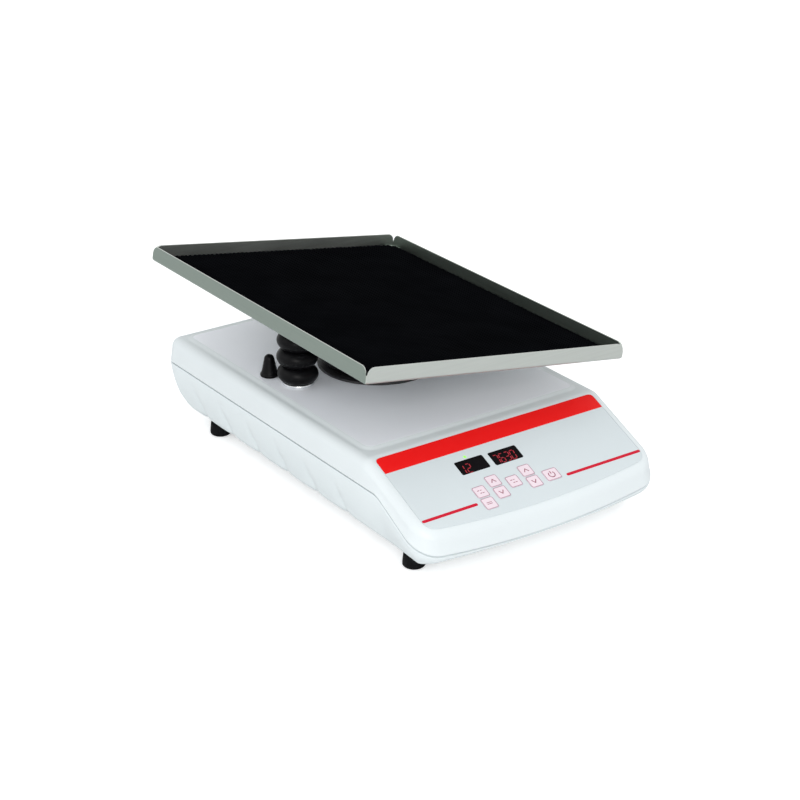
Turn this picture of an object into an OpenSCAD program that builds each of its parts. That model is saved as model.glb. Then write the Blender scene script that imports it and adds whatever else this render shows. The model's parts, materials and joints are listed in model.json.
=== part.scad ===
// Bench rocking platform shaker: a moulded instrument housing with a sloping
// control panel, and a steel tray that rocks on a central axle.
// +X is to the right of the control panel, +Y to the rear, +Z up.
// The origin is on the bench, straight below the middle of the rocking axle.

/* [Tray] */
// Outside width of the tray, across the rocking axis
tray_w = 279.4; // [240:0.1:340]
// Outside length of the tray, along the rocking axis
tray_l = 355.6; // [300:0.1:420]
// Thickness of the tray's steel sheet
tray_t = 1.5; // [1:0.1:3]
// Height of the tray's lips over its underside
lip_h = 14.6; // [10:0.1:30]
// Radius of the lips' upper corners
lip_corner_r = 7; // [3:0.5:9]
// Thickness of the rubber mat
mat_t = 3; // [1:0.1:6]
// Gap between the mat and the lips
mat_gap = 2.5; // [1:0.1:8]
// Corner radius of the mat
mat_corner_r = 9; // [3:0.5:20]

/* [Rocking drive] */
// Angle of the tray at rest, left side up
rest_tilt = 9.2; // [-14:0.1:14]
// Height of the rocking axle over the bench
pivot_z = 118.4; // [114:0.1:124]
// Height of the tray's underside over the rocking axle
tray_rise = 20.9; // [19:0.1:30]
// Height of the rocker shaft over the bench
rocker_z = 53; // [51:0.1:55]
// Distance from the axle to the link's pin
drive_arm = 88; // [80:0.5:92]
// Diameter of the rocking axle
axle_d = 12; // [8:0.5:14]
// Diameter of the rocker shaft
rocker_shaft_d = 10; // [8:0.5:12]
// Diameter of the link's two pins
link_pin_d = 6; // [4:0.5:7]
// Diameter of the link rod
link_rod_d = 7; // [5:0.5:8]
// Gear module of the sector and the pinion
gear_module = 1.5; // [1:0.05:1.55]
// Teeth that the sector would have as a whole gear
sector_teeth = 54; // [50:2:56]
// Teeth of the sector on each side of its middle tooth
sector_side_teeth = 4; // [4:1:5]
// Teeth of the motor pinion
pinion_teeth = 18; // [16:2:20]

/* [Housing] */
// Width of the housing at its parting line
housing_w = 258.8; // [250:0.1:280]
// Distance from the rocking axis to the rear wall
housing_back = 169.8; // [168:0.1:180]
// Distance from the rocking axis to the middle of the front
housing_front = 256.5; // [250:0.5:270]
// Radius of the front's bow
front_bow_r = 940; // [600:10:2000]
// Plan radius of the rear corners
back_corner_r = 13; // [13:0.5:30]
// Plan radius of the front corners
front_corner_r = 24; // [20:0.5:30]
// Wall thickness of the mouldings
wall_t = 2.8; // [2:0.1:3.5]
// Height of the feet
foot_h = 12; // [10:0.5:16]
// Height of the parting line at the sides
seam_z = 63; // [60:0.5:68]
// Height of the cover over the parting line
cover_h = 23; // [20:0.5:26]
// Shadow gap at the parting line
seam_gap = 0.6; // [0.3:0.1:1]
// Distance from the rocking axis to the upper edge of the control panel
panel_break = 162.5; // [158:0.5:166]
// Slope of the control panel
panel_slope = 23.5; // [20:0.5:26]
// Distance from the rocking axis to the bend in the parting line
seam_break = 185; // [180:0.5:192]
// Slope of the parting line in front of its bend
seam_slope = 28; // [25:0.5:29]
// Draft of the cover's walls, from the parting line to the round edge
cover_draft = 2; // [0.5:0.1:2.5]
// Radius of the cover's upper edge
cover_round = 9; // [6:0.5:12]
// Height of the raised deck on the cover
deck_step = 1.5; // [0.8:0.1:3]
// Width of the raised deck, at its top
deck_w = 221; // [200:1:224]
// Distance from the rocking axis to the front edge of the raised deck
deck_front = 148; // [140:1:150]
// Distance from the rocking axis to the rear edge of the raised deck
deck_back = 151; // [130:1:152]
// Taper of the pan's walls, from the parting line to above the floor's round
pan_taper = 8.6; // [6:0.1:10]
// Number of flutes on each side of the pan
flute_count = 5; // [3:1:6]
// Length of one flute
flute_pitch = 48; // [40:1:50]
// Depth of the grooves between the flutes
flute_depth = 3.5; // [1:0.1:5]
// Distance from the rocking axis to the front groove
flute_front = 124; // [118:1:130]

/* [Control panel] */
// Width of the printed overlay
overlay_w = 235; // [225:0.5:237]
// Length of the printed overlay, down the slope
overlay_l = 92.5; // [90:0.5:93]
// Distance from the panel's upper edge to the overlay
overlay_top = 2.8; // [1:0.1:4]
// Thickness of the overlay
overlay_t = 0.8; // [0.5:0.1:1.5]
// Radius of the overlay's lower bow
overlay_bow_r = 800; // [500:10:2000]
// Width and length of a key
key_size = 12.2; // [10:0.1:12.6]
// Width of the power key
power_key_w = 15; // [12.6:0.1:16]
// Travel of a key
key_travel = 0.4; // [0.2:0.05:0.6]
// Width of a display window
window_w = 28.2; // [24:0.1:30]
// Length of a display window
window_l = 14; // [10:0.1:15]

/* [Supports and fasteners] */
// Diameter of a foot at the bench
foot_d = 20; // [16:0.5:24]
// Distance between the left and the right feet
foot_span_x = 211.6; // [206:0.1:216]
// Distance from the rocking axis to the front feet
foot_front = 206.4; // [202:0.5:210]
// Distance from the rocking axis to the rear feet
foot_back = 111; // [100:0.5:125]
// Thickness of the chassis plate
chassis_t = 2; // [1.5:0.1:2.5]
// Thickness of the pedestal's cheeks
cheek_t = 7; // [5:0.5:8]
// Thickness of the tray carrier
carrier_t = 3; // [2:0.1:4]
// Height of the bump stops over the deck
bump_h = 20.8; // [12:0.1:21.5]
// Diameter of a bump stop's foot
bump_d = 17.2; // [12:0.1:20]
// Diameter of the small screws' shanks
screw_d = 4; // [3:0.1:4.5]

/* [Rubber boots] */
// Outside diameter of the drive bellows
bellows_d = 37.4; // [34:0.1:42]
// Outside diameter of the drive bellows in its folds
bellows_neck_d = 25; // [24.6:0.1:28]
// Number of folds of the drive bellows
bellows_folds = 3; // [2:1:4]
// Outside diameter of the collar under the drive bellows
collar_d = 29; // [28:0.5:36]
// Outside diameter of the central boot's clamp ring
boot_ring_d = 112; // [108:0.5:116]
// Outside diameter of the central boot
boot_d = 108; // [104:0.5:110]
// Number of folds of the central boot
boot_folds = 3; // [2:1:4]
// Wall thickness of the rubber
rubber_t = 1.5; // [1:0.1:1.8]

/* [Hidden] */

$fn = 64;
eps = 0.01;
run_gap = 0.05;   // radial clearance of a running fit
seat_gap = 0.02;  // radial clearance of a fixed pin in its bore
side_gap = 0.3;   // clearance beside a piece that sits in an opening

// --- Levels of the housing ---
top_z = seam_z + cover_h;
deck_z = top_z + deck_step;
floor_in = foot_h + wall_t;
deck_t = 3;                       // vertical thickness of the cover's top
lip_up = 3;                       // height of the pan's locating lip
nose_break = foot_front + foot_d / 2;   // where the floor starts to rise to the front
nose_rise = 0.29;                 // rise of the floor per millimetre in front of that
half_w = housing_w / 2;

function top_at(y) = y > -panel_break ? top_z : top_z - (-panel_break - y) * tan(panel_slope);
function seam_at(y) = y > -seam_break ? seam_z : seam_z - (-seam_break - y) * tan(seam_slope);

// --- Outlines: a rounded rectangle whose front is bowed ---
function arc(cx, cy, r, from, to, steps) =
    [for (i = [0 : steps]) let (a = from + (to - from) * i / steps) [cx + r * cos(a), cy + r * sin(a)]];

// Right half of the outline, from the back to the middle of the front
function half_outline(w, back, front, bow, rb, rf, ys) =
    let (
        tilt = asin((w - rf) / (bow - rf)),
        fy = -front + bow - sqrt(pow(bow - rf, 2) - pow(w - rf, 2)),
        bow_line = arc(0, bow - front, bow, tilt - 90, -90, 4)
    )
    concat(
        arc(w - rb, back - rb, rb, 90, 0, 6),
        [for (y = ys) [w, y]],
        arc(w - rf, fy, rf, 0, tilt - 90, 7),
        [for (i = [1 : len(bow_line) - 1]) bow_line[i]]
    );

small_r = 2;              // least plan radius of an inset outline
function whole(half) = concat(half, [for (i = [len(half) - 2 : -1 : 0]) [-half[i][0], half[i][1]]]);

function housing_half(inset, ys, least = small_r) = half_outline(
    half_w - inset, housing_back - inset, housing_front - inset, front_bow_r - inset,
    max(back_corner_r - inset, least), max(front_corner_r - inset, least), ys);

// Solid skinned over rings of points, lowest first. All rings have the same odd count:
// they run clockwise, with the middle point in front, and mirror about it.
module skin(rings) {
    n = len(rings[0]);
    m = len(rings);
    last = (m - 1) * n;
    points = [for (ring = rings) each ring];
    walls = [for (k = [0 : m - 2], i = [0 : n - 1])
        let (a = k * n + i, b = k * n + (i + 1) % n) each [[a, b, b + n], [a, b + n, a + n]]];
    caps = [for (i = [0 : (n - 3) / 2])
        let (l = n - 1 - i) each concat(
            [[last + i, last + i + 1, last + l], [l, i + 1, i]],
            l - i == 2 ? [] : [[last + i + 1, last + l - 1, last + l], [l, l - 1, i + 1]])];
    polyhedron(points = points, faces = concat(walls, caps), convexity = 8);
}

// --- Bottom pan ---
// From the floor up: share of the wall's height, inset of the wall there, share of the flutes'
// depth and least plan radius of the corners
pan_profile = [
    [0, pan_taper + 8.8, 1, 11.5], [0.024, pan_taper + 5.6, 1, 12], [0.07, pan_taper + 3, 1, 12],
    [0.14, pan_taper + 1.1, 1, 12], [0.25, pan_taper, 1, 8], [0.6, pan_taper * 0.38, 0.4, small_r],
    [0.84, pan_taper * 0.1, 0, small_r], [1, 0, 0, small_r],
];
flute_steps = 6;
flute_back = flute_front - flute_count * flute_pitch;
flute_ys = [for (i = [(flute_count + 0.5) * flute_steps : -1 : -0.5 * flute_steps])
    let (y = -flute_front + i * flute_pitch / flute_steps)
    if (y < housing_back - pan_profile[0][1] - pan_profile[0][3] - 0.5 && y > -seam_break + 0.5) y];
function flute(y) =
    y > -flute_back + flute_pitch / 2 || y < -flute_front - flute_pitch / 2 ? 0
    : let (t = (y + flute_front) / flute_pitch) pow(2 * (t - floor(t)) - 1, 2);

pan_ys = concat(flute_ys, [-seam_break]);
function pan_ring(k) =
    let (
        share = pan_profile[k][0],
        inset = pan_profile[k][1],
        groove = pan_profile[k][2] * flute_depth,
        half = [for (p = housing_half(inset, pan_ys, pan_profile[k][3]))
            [p[0] > half_w - inset - eps ? p[0] - groove * flute(p[1]) : p[0], p[1]]]
    )
    [for (p = whole(half))
        [p[0], p[1], foot_h + (seam_at(p[1]) - seam_gap - foot_h) * share]];

plain_ys = [-panel_break, -seam_break];
function seam_ring(inset, rise) = [for (p = whole(housing_half(inset, plain_ys)))
    [p[0], p[1], seam_at(p[1]) + rise]];
function floor_ring(inset, share, rise) = [for (p = whole(housing_half(inset, plain_ys)))
    [p[0], p[1], floor_in + rise + (seam_at(p[1]) - floor_in) * share]];

lip_inset = wall_t + side_gap + cover_draft;   // clear of the cover's drafted inner wall
module pan_shell() {
    difference() {
        union() {
            skin([for (k = [0 : len(pan_profile) - 1]) pan_ring(k)]);
            skin([seam_ring(lip_inset, -seam_gap - 1), seam_ring(lip_inset, lip_up)]);
        }
        difference() {
            skin([
                floor_ring(pan_taper + 12, 0, 0),
                floor_ring(pan_taper + flute_depth + wall_t, 0.22, 0),
                floor_ring(pan_taper * 0.38 + flute_depth * 0.4 + wall_t, 0.6, 0),
                seam_ring(lip_inset + wall_t * 0.7, -4),
                seam_ring(lip_inset + wall_t * 0.7, lip_up + 1),
            ]);
            pan_bosses();
            inlet_pad();
            under_nose(wall_t);
        }
    }
}

// The floor rises in front of the front feet
module under_nose(lift) {
    rise = atan(nose_rise);
    translate([-housing_w, -nose_break, foot_h + lift])
        rotate([-rise, 0, 0]) translate([0, -80, -40]) cube([2 * housing_w, 80, 40]);
}

// Screw bosses that join the mouldings: x, y and the height at which they meet
side_boss_x = half_w - 25.4;
side_boss_front = 150;
side_boss_mid = 62;
side_boss_back = housing_back - 27.8;
side_boss_z = seam_z - 5;
nose_boss_x = 80;
nose_boss_y = housing_front - 26.5;
nose_boss_z = 32;
bosses = [for (s = [-1, 1]) each [
    [s * side_boss_x, -side_boss_front, side_boss_z], [s * side_boss_x, side_boss_mid, side_boss_z],
    [s * side_boss_x, side_boss_back, side_boss_z], [s * nose_boss_x, -nose_boss_y, nose_boss_z],
]];
boss_d = 10;
foot_boss_d = 12;
boss_head_h = 5;       // depth of the recess for a cover screw's head
boss_reach = 10;       // how far a cover screw goes into the cover's boss
feet = [for (s = [-1, 1], y = [-foot_front, foot_back]) [s * foot_span_x / 2, y]];
foot_boss_h = 7;
chassis_z = floor_in + 3;
chassis_x = foot_span_x / 2 - foot_boss_d / 2 - 1.8;   // the plate lies between the feet's bosses
chassis_front = 118;
chassis_back = 140;
chassis_bolt_in = 12;
chassis_bolts = [for (x = [-1, 1], y = [chassis_bolt_in + 2 - chassis_front, 20, chassis_back - chassis_bolt_in - 2])
    [x * (chassis_x - chassis_bolt_in), y]];
function pan_floor(y) = foot_h + (y > -nose_break ? 0 : (-nose_break - y) * nose_rise);

module pan_bosses() {
    for (b = bosses) translate([b[0], b[1], 0]) cylinder(d = boss_d, h = b[2] - seat_gap);
    for (f = feet) translate([f[0], f[1], 0]) cylinder(d = foot_boss_d, h = floor_in + foot_boss_h);
    for (c = chassis_bolts) translate([c[0], c[1], 0]) cylinder(d = boss_d, h = chassis_z - seat_gap);
}

// Rear pocket that holds the mains inlet
inlet_x = 70;
inlet_z = 41;
inlet_y = housing_back - 10;   // face that the inlet's flange sits on
inlet_flange = [50, 25];
pocket_gap = 1.5;
module inlet_pad() {
    translate([inlet_x - inlet_flange[0] / 2 - 5, inlet_y - wall_t, 0])
        cube([inlet_flange[0] + 10, 40, seam_z - 4]);
}

vent_w = 3;
vent_l = 34;
module vents() {
    for (i = [-4 : 4]) translate([-22 + i * 3 * vent_w, 112 - vent_l / 2, foot_h - 1])
        cube([vent_w, vent_l, wall_t + 2]);
    for (i = [-4 : 4]) translate([-40 + i * 3 * vent_w, housing_back - 22, 30])
        cube([vent_w, 30, 18]);
}

module bottom_pan() color([0.83, 0.86, 0.87]) difference() {
    pan_shell();
    under_nose(0);
    for (b = bosses) translate([b[0], b[1], 0]) {
        cylinder(d = screw_d + 2 * run_gap, h = seam_z);
        cylinder(d = 2 * screw_d, h = pan_floor(b[1]) + boss_head_h);
    }
    for (f = feet) translate([f[0], f[1], 0]) cylinder(d = screw_d + 2 * run_gap, h = floor_in + foot_boss_h - 1.5);
    for (c = chassis_bolts) translate([c[0], c[1], foot_h + 1.2]) cylinder(d = screw_d + 2 * seat_gap, h = chassis_z);
    translate([inlet_x - inlet_flange[0] / 2 - pocket_gap, inlet_y, inlet_z - inlet_flange[1] / 2 - pocket_gap])
        cube([inlet_flange[0] + 2 * pocket_gap, 30, inlet_flange[1] + 2 * pocket_gap]);
    inlet_cut(side_gap);
    for (s = [-1, 1]) inlet_screw_place(s) cylinder(d = 3, h = 30, center = true);
    vents();
}

// --- Top cover ---
cover_ys = [-panel_break, -seam_break];
function top_ring(inset, drop) = [for (p = whole(housing_half(inset, cover_ys)))
    [p[0], p[1], top_at(p[1]) - drop]];
function edge_ring(r, base, under, a) = top_ring(base + r * (1 - cos(a)), under + r * (1 - sin(a)));

module cover_outer() {
    skin(concat(
        [seam_ring(0, 0)],
        [for (a = [0 : 15 : 90]) edge_ring(cover_round, cover_draft, 0, a)]));
}

module cover_inner() {
    r = cover_round - wall_t;
    skin(concat(
        [seam_ring(wall_t, -2)],
        [for (a = [0 : 30 : 90]) edge_ring(r, cover_draft + wall_t, deck_t, a)]));
}

// Raised deck with sloping sides
deck_slope_w = 6;
module raised_deck() {
    mid = (deck_back - deck_front) / 2;
    l = (deck_back + deck_front) / 2;
    function ring(grow, z) = [for (p = whole(half_outline(
        deck_w / 2 + grow, l + grow, l + grow, 5000, 6 + grow, 6 + grow, [0])))
        [p[0], p[1] + mid, z]];
    skin([ring(deck_slope_w, top_z - 1), ring(deck_slope_w, top_z), ring(0, deck_z)]);
}

// Places its children on the panel: across, down the slope, and out of it
module on_panel(x, s, n = 0) {
    translate([0, -panel_break, top_z]) rotate([panel_slope, 0, 0]) translate([x, -s, n]) children();
}

module rounded_rect(w, l, r) {
    square([w - 2 * r, l], center = true);
    square([w, l - 2 * r], center = true);
    for (x = [-1, 1], y = [-1, 1]) translate([x * (w / 2 - r), y * (l / 2 - r)]) circle(r = r, $fn = 24);
}

overlay_corner = 4.5;
module overlay_outline(grow) {
    polygon([for (p = whole(half_outline(overlay_w / 2 + grow, grow, overlay_l + grow,
        overlay_bow_r, overlay_corner + grow, 2 * overlay_corner + grow, [-overlay_l / 2]))) [p[0], p[1]]]);
}

// Keys: across the panel, and down it from the overlay's upper edge
key_col = 17.5;
key_row = 13.4;
key_x0 = -50;
key_s0 = 57.3;
power_x = 22;
power_s = 69.3;
key_places = [
    [key_x0, key_s0 + key_row / 2],                // speed run
    [key_x0, key_s0 + 1.5 * key_row],              // mode
    [key_x0 + key_col, key_s0],                    // speed up
    [key_x0 + key_col, key_s0 + key_row],          // speed down
    [key_x0 + 2 * key_col, key_s0 + key_row / 2],  // time run
    [key_x0 + 3 * key_col, key_s0],                // time up
    [key_x0 + 3 * key_col, key_s0 + key_row],      // time down
];
power_place = [power_x, power_s];
all_keys = concat(key_places, [power_place]);
key_post_d = 4;
window_places = [[-39.5, 35.4], [-4.4, 36]];
led_place = [-40, 25.3];
led_d = 2.4;
board_n = -9;                // level of the control board's upper face
board_t = 1.6;
board_size = [112, 66];
board_place = [-14, 50];
board_hole_inset = 4;
panel_under = -deck_t * cos(panel_slope);
board_holes = [for (x = [-1, 1], y = [-1, 1])
    [board_place[0] + x * (board_size[0] / 2 - board_hole_inset),
     board_place[1] + y * (board_size[1] / 2 - board_hole_inset)]];

// Places its children on the overlay's area, from its upper edge
module on_overlay(place, n = 0) {
    on_panel(place[0], overlay_top + place[1], n) children();
}

rod_hole_x = -drive_arm + 1.5;
rod_hole_d = 25;
boot_hole_d = 88;
module cover_bosses() {
    for (b = bosses) translate([b[0], b[1], b[2] + seat_gap]) cylinder(d = boss_d, h = 100);
}

module top_cover() color([0.89, 0.91, 0.92]) difference() {
    union() {
        difference() {
            cover_outer();
            difference() {
                cover_inner();
                cover_bosses();
            }
        }
        difference() {
            raised_deck();
            translate([0, 0, -eps]) cover_inner();
        }
    }
    for (b = bosses) translate([b[0], b[1], 0]) cylinder(d = screw_d + 2 * run_gap, h = b[2] + boss_reach + 2);
    translate([rod_hole_x, 0, 0]) cylinder(d = rod_hole_d, h = 2 * top_z);
    cylinder(d = boot_hole_d, h = 2 * top_z);
    on_panel(0, overlay_top, -overlay_t) linear_extrude(10) overlay_outline(side_gap);
    for (k = all_keys) on_overlay(k, -10) cylinder(d = key_post_d + 1, h = 20, $fn = 24);
    for (w = window_places) on_overlay(w, 0) cube([window_w - 3, window_l - 3, 20], center = true);
    on_overlay(led_place, -10) cylinder(d = led_d + 0.4, h = 20, $fn = 24);
    for (x = [-1, 1]) translate([x * bump_x, bump_y, 0]) cylinder(d = screw_d + 2 * run_gap, h = 2 * top_z);
}

// --- Feet and the housing's screws ---
module rubber_feet() color([0.06, 0.06, 0.07]) for (f = feet) translate([f[0], f[1], 0]) {
    rotate_extrude() polygon([
        [screw_d, 0], [foot_d / 2 - 1.5, 0], [foot_d / 2, 1.5], [foot_d / 2 - 1, foot_h],
        [screw_d / 2 + run_gap, foot_h], [screw_d / 2 + run_gap, foot_h / 2], [screw_d, foot_h / 2],
    ]);
}

module pan_head_screw(d, l) {
    translate([0, 0, -0.2 * d]) cylinder(d = d, h = l + 0.2 * d, $fn = 32);
    difference() {
        translate([0, 0, -0.6 * d]) cylinder(d = 1.8 * d, h = 0.6 * d, $fn = 32);
        for (a = [0, 90]) rotate([0, 0, a]) translate([-0.6 * d, -0.12 * d, -d]) cube([1.2 * d, 0.24 * d, 0.7 * d]);
    }
}

module foot_screws() color("silver") for (f = feet)
    translate([f[0], f[1], foot_h / 2]) pan_head_screw(screw_d, foot_h / 2 + wall_t + foot_boss_h - 2);

module cover_screws() color("silver") for (b = bosses)
    translate([b[0], b[1], pan_floor(b[1]) + boss_head_h])
        pan_head_screw(screw_d, b[2] - pan_floor(b[1]) - boss_head_h + boss_reach);

// --- Control panel pieces ---
module key_outline(w, grow = 0) {
    rounded_rect(w + 2 * grow, key_size + 2 * grow, 1.8 + grow);
}

module panel_overlay() color([0.84, 0.88, 0.88]) difference() {
    on_panel(0, overlay_top, -overlay_t) linear_extrude(overlay_t) overlay_outline(0);
    for (k = key_places) on_overlay(k, -2) linear_extrude(4) key_outline(key_size, side_gap);
    on_overlay(power_place, -2) linear_extrude(4) key_outline(power_key_w, side_gap);
    for (w = window_places) on_overlay(w, -2) linear_extrude(4) rounded_rect(window_w + 0.2, window_l + 0.2, 1);
    on_overlay(led_place, -2) cylinder(d = led_d + 0.2, h = 4, $fn = 24);
}

key_film_t = 0.55;
key_proud = 0.25;
switch_h = 3.5;
plunger_h = 1.2;
key_post_n = board_n + switch_h + plunger_h + key_travel + 0.05;   // lower end of a key's post
module key(place, w) color([0.90, 0.80, 0.84]) on_overlay(place) {
    translate([0, 0, key_proud - key_film_t]) linear_extrude(key_film_t) key_outline(w);
    translate([0, 0, key_post_n])
        cylinder(d = key_post_d, h = key_proud - key_film_t - key_post_n + eps, $fn = 24);
}

module key_speed_run() key(key_places[0], key_size);
module key_mode() key(key_places[1], key_size);
module key_speed_up() key(key_places[2], key_size);
module key_speed_down() key(key_places[3], key_size);
module key_time_run() key(key_places[4], key_size);
module key_time_up() key(key_places[5], key_size);
module key_time_down() key(key_places[6], key_size);
module key_power() key(power_place, power_key_w);

module display_lenses() color([0.12, 0.02, 0.03]) for (w = window_places)
    on_overlay(w, -overlay_t) linear_extrude(overlay_t) rounded_rect(window_w, window_l, 0.9);

module display_unit(place) color([0.1, 0.1, 0.11])
    on_overlay(place, board_n) translate([0, 0, (panel_under - 0.2 - board_n) / 2])
        cube([window_w - 1, window_l - 1, panel_under - 0.2 - board_n], center = true);
module speed_display() display_unit(window_places[0]);
module timer_display() display_unit(window_places[1]);

module status_led() color([0.3, 0.8, 0.2]) on_overlay(led_place, board_n) {
    cylinder(d = led_d, h = -board_n, $fn = 24);
    cylinder(d = led_d + 1, h = 3, $fn = 24);
}

module control_board() color([0.1, 0.35, 0.2]) difference() {
    on_overlay(board_place, board_n - board_t / 2)
        cube([board_size[0], board_size[1], board_t], center = true);
    for (b = board_holes) on_overlay(b, board_n - 5) cylinder(d = screw_d - 0.8, h = 10, $fn = 24);
}

module key_switches() color([0.15, 0.15, 0.16]) for (k = all_keys) on_overlay(k, board_n) {
    translate([-3, -3, 0]) cube([6, 6, switch_h]);
    cylinder(d = 3.4, h = switch_h + plunger_h, $fn = 24);
}

module board_standoffs() color("silver") for (b = board_holes) on_overlay(b, board_n) difference() {
    cylinder(d = 6.5, h = panel_under - board_n - seat_gap, $fn = 32);
    translate([0, 0, -1]) cylinder(d = screw_d - 0.9, h = 6, $fn = 32);
}

module board_screws() color("silver") for (b = board_holes)
    on_overlay(b, board_n - board_t) pan_head_screw(screw_d - 1, board_t + 4);

// --- Chassis plate and pedestal ---
pedestal_z = chassis_z + chassis_t;
base_t = 5;
cheek_y = 18;                          // inner face of a cheek
cheek_out = cheek_y + cheek_t;
base_half = 28;
base_half_l = 44;
base_bolts = [for (x = [-1, 1], y = [-1, 1]) [x * (base_half - 6), y * (base_half_l - 8)]];

module chassis_plate() color([0.7, 0.72, 0.74]) difference() {
    translate([0, (chassis_back - chassis_front) / 2, chassis_z]) linear_extrude(chassis_t)
        rounded_rect(2 * chassis_x, chassis_back + chassis_front, 8);
    for (c = chassis_bolts) translate([c[0], c[1], chassis_z - 5]) cylinder(d = screw_d + 0.4, h = 10);
    for (b = base_bolts) translate([b[0], b[1], chassis_z - 5]) cylinder(d = screw_d - 2 * seat_gap + 0.1, h = 10);
    for (s = [-1, 1]) translate([gear_x + s * bracket_bolt_x, bracket_foot_y, chassis_z - 5])
        cylinder(d = screw_d - 2 * seat_gap + 0.1, h = 10);
    for (y = [-80, -60]) translate([-40, y, chassis_z - 1]) linear_extrude(5) rounded_rect(60, 8, 3.9);
    for (p = pillar_places) translate([p[0], p[1], chassis_z - 5]) cylinder(d = screw_d - 0.9, h = 10, $fn = 32);
}

// Screws with their heads up, at the heights of what they clamp
module down_screw(x, y, z, l) translate([x, y, z]) rotate([180, 0, 0]) pan_head_screw(screw_d, l);
module chassis_screws() color("silver") {
    for (c = chassis_bolts) down_screw(c[0], c[1], pedestal_z, chassis_t + 3);
    for (b = base_bolts) down_screw(b[0], b[1], pedestal_z + base_t, base_t + chassis_t);
    for (s = [-1, 1]) down_screw(gear_x + s * bracket_bolt_x, bracket_foot_y, pedestal_z + bracket_t, bracket_t + chassis_t);
}

cheek_foot_h = 12;
cheek_top_r = 14;
bush_t = 3;                           // radial thickness of a bush
bush_flange = 2.5;
function bush_outer(shaft) = shaft + 2 * run_gap + 2 * bush_t;
bush_flange_t = 1.5;
web_z = 88;
web_half = 11;
web_t = 6;
module along_y(y0, y1) translate([0, y1, 0]) rotate([90, 0, 0]) linear_extrude(y1 - y0) children();

module cheek_outline() {
    polygon([
        [-base_half, pedestal_z], [base_half, pedestal_z], [base_half, pedestal_z + cheek_foot_h],
        [cheek_top_r, pivot_z - 4], [-cheek_top_r, pivot_z - 4], [-base_half, pedestal_z + cheek_foot_h],
    ]);
    translate([0, pivot_z]) circle(r = cheek_top_r);
}

module pedestal() color([0.72, 0.73, 0.75]) difference() {
    union() {
        along_y(cheek_y, cheek_out) cheek_outline();
        along_y(-cheek_out, -cheek_y) cheek_outline();
        translate([-base_half, -base_half_l, pedestal_z]) cube([2 * base_half, 2 * base_half_l, base_t]);
        translate([-web_half, -cheek_out, web_z - web_t / 2]) cube([2 * web_half, 2 * cheek_out, web_t]);
    }
    along_y(-50, 50) translate([0, pivot_z]) circle(d = bush_outer(axle_d) + 2 * seat_gap);
    along_y(-50, 50) translate([0, rocker_z]) circle(d = bush_outer(rocker_shaft_d) + 2 * seat_gap);
    for (b = base_bolts) translate([b[0], b[1], pedestal_z - 5]) cylinder(d = screw_d + 0.4, h = 20);
}

module flanged_bush(shaft) {
    bore = shaft / 2 + run_gap;
    outer = bush_outer(shaft) / 2;
    rotate_extrude() polygon([
        [bore, 0], [outer, 0], [outer, cheek_t], [outer + bush_flange, cheek_t],
        [outer + bush_flange, cheek_t + bush_flange_t], [bore, cheek_t + bush_flange_t],
    ]);
}

module bush_pair(z, shaft) {
    for (s = [-1, 1]) translate([0, s * cheek_y, z]) rotate([-s * 90, 0, 0]) flanged_bush(shaft);
}
module axle_bushes() color([0.72, 0.55, 0.3]) bush_pair(pivot_z, axle_d);
module rocker_bushes() color([0.72, 0.55, 0.3]) bush_pair(rocker_z, rocker_shaft_d);

// --- Motor side ---
sector_r = gear_module * sector_teeth / 2;
pinion_r = gear_module * pinion_teeth / 2;
gear_x = sector_r + pinion_r;
sector_y = [4.6, 12.6];
pinion_y = [3.6, 13.6];
bracket_y = 20;
bracket_t = 3;
bracket_half = 22;
bracket_bolt_x = 13;
bracket_foot_y = bracket_y - 10;
gearbox_d = 36;
gearbox_l = 26;
motor_w = 42.3;
motor_l = 40;
pilot_d = 22;
motor_shaft_d = 8;
gearbox_bolt_r = 14;

module motor_bracket() color([0.62, 0.64, 0.67]) difference() {
    union() {
        translate([gear_x - bracket_half, bracket_y, pedestal_z])
            cube([2 * bracket_half, bracket_t, rocker_z - pedestal_z + bracket_half - 1]);
        translate([gear_x - bracket_half, bracket_foot_y - 7, pedestal_z])
            cube([2 * bracket_half, bracket_y + bracket_t - bracket_foot_y + 7, bracket_t]);
    }
    translate([gear_x, 0, 0]) along_y(bracket_y - 5, bracket_y + 10) {
        translate([0, rocker_z]) circle(d = pilot_d + 0.2);
        for (a = [45 : 90 : 315]) translate([gearbox_bolt_r * cos(a), rocker_z + gearbox_bolt_r * sin(a)])
            circle(d = screw_d - 0.6, $fn = 32);
    }
    for (s = [-1, 1]) translate([gear_x + s * bracket_bolt_x, bracket_foot_y, pedestal_z - 5]) cylinder(d = screw_d + 0.4, h = 20);
}

gearbox_y = bracket_y + bracket_t;
module gearbox() color([0.5, 0.52, 0.55]) difference() {
    translate([gear_x, 0, 0]) {
        along_y(gearbox_y, gearbox_y + gearbox_l) translate([0, rocker_z]) circle(d = gearbox_d);
        along_y(bracket_y + 0.5, gearbox_y + eps) translate([0, rocker_z]) circle(d = pilot_d);
    }
    translate([gear_x, 0, 0]) along_y(0, gearbox_y + 18) translate([0, rocker_z]) circle(d = motor_shaft_d + 2 * run_gap);
    translate([gear_x, 0, 0]) along_y(0, gearbox_y + 6) for (a = [45 : 90 : 315])
        translate([gearbox_bolt_r * cos(a), rocker_z + gearbox_bolt_r * sin(a)]) circle(d = screw_d - 0.9, $fn = 32);
}

module motor_screws() color("silver") for (a = [45 : 90 : 315])
    translate([gear_x + gearbox_bolt_r * cos(a), bracket_y, rocker_z + gearbox_bolt_r * sin(a)])
        rotate([-90, 0, 0]) pan_head_screw(screw_d - 1, bracket_t + 5);

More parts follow.
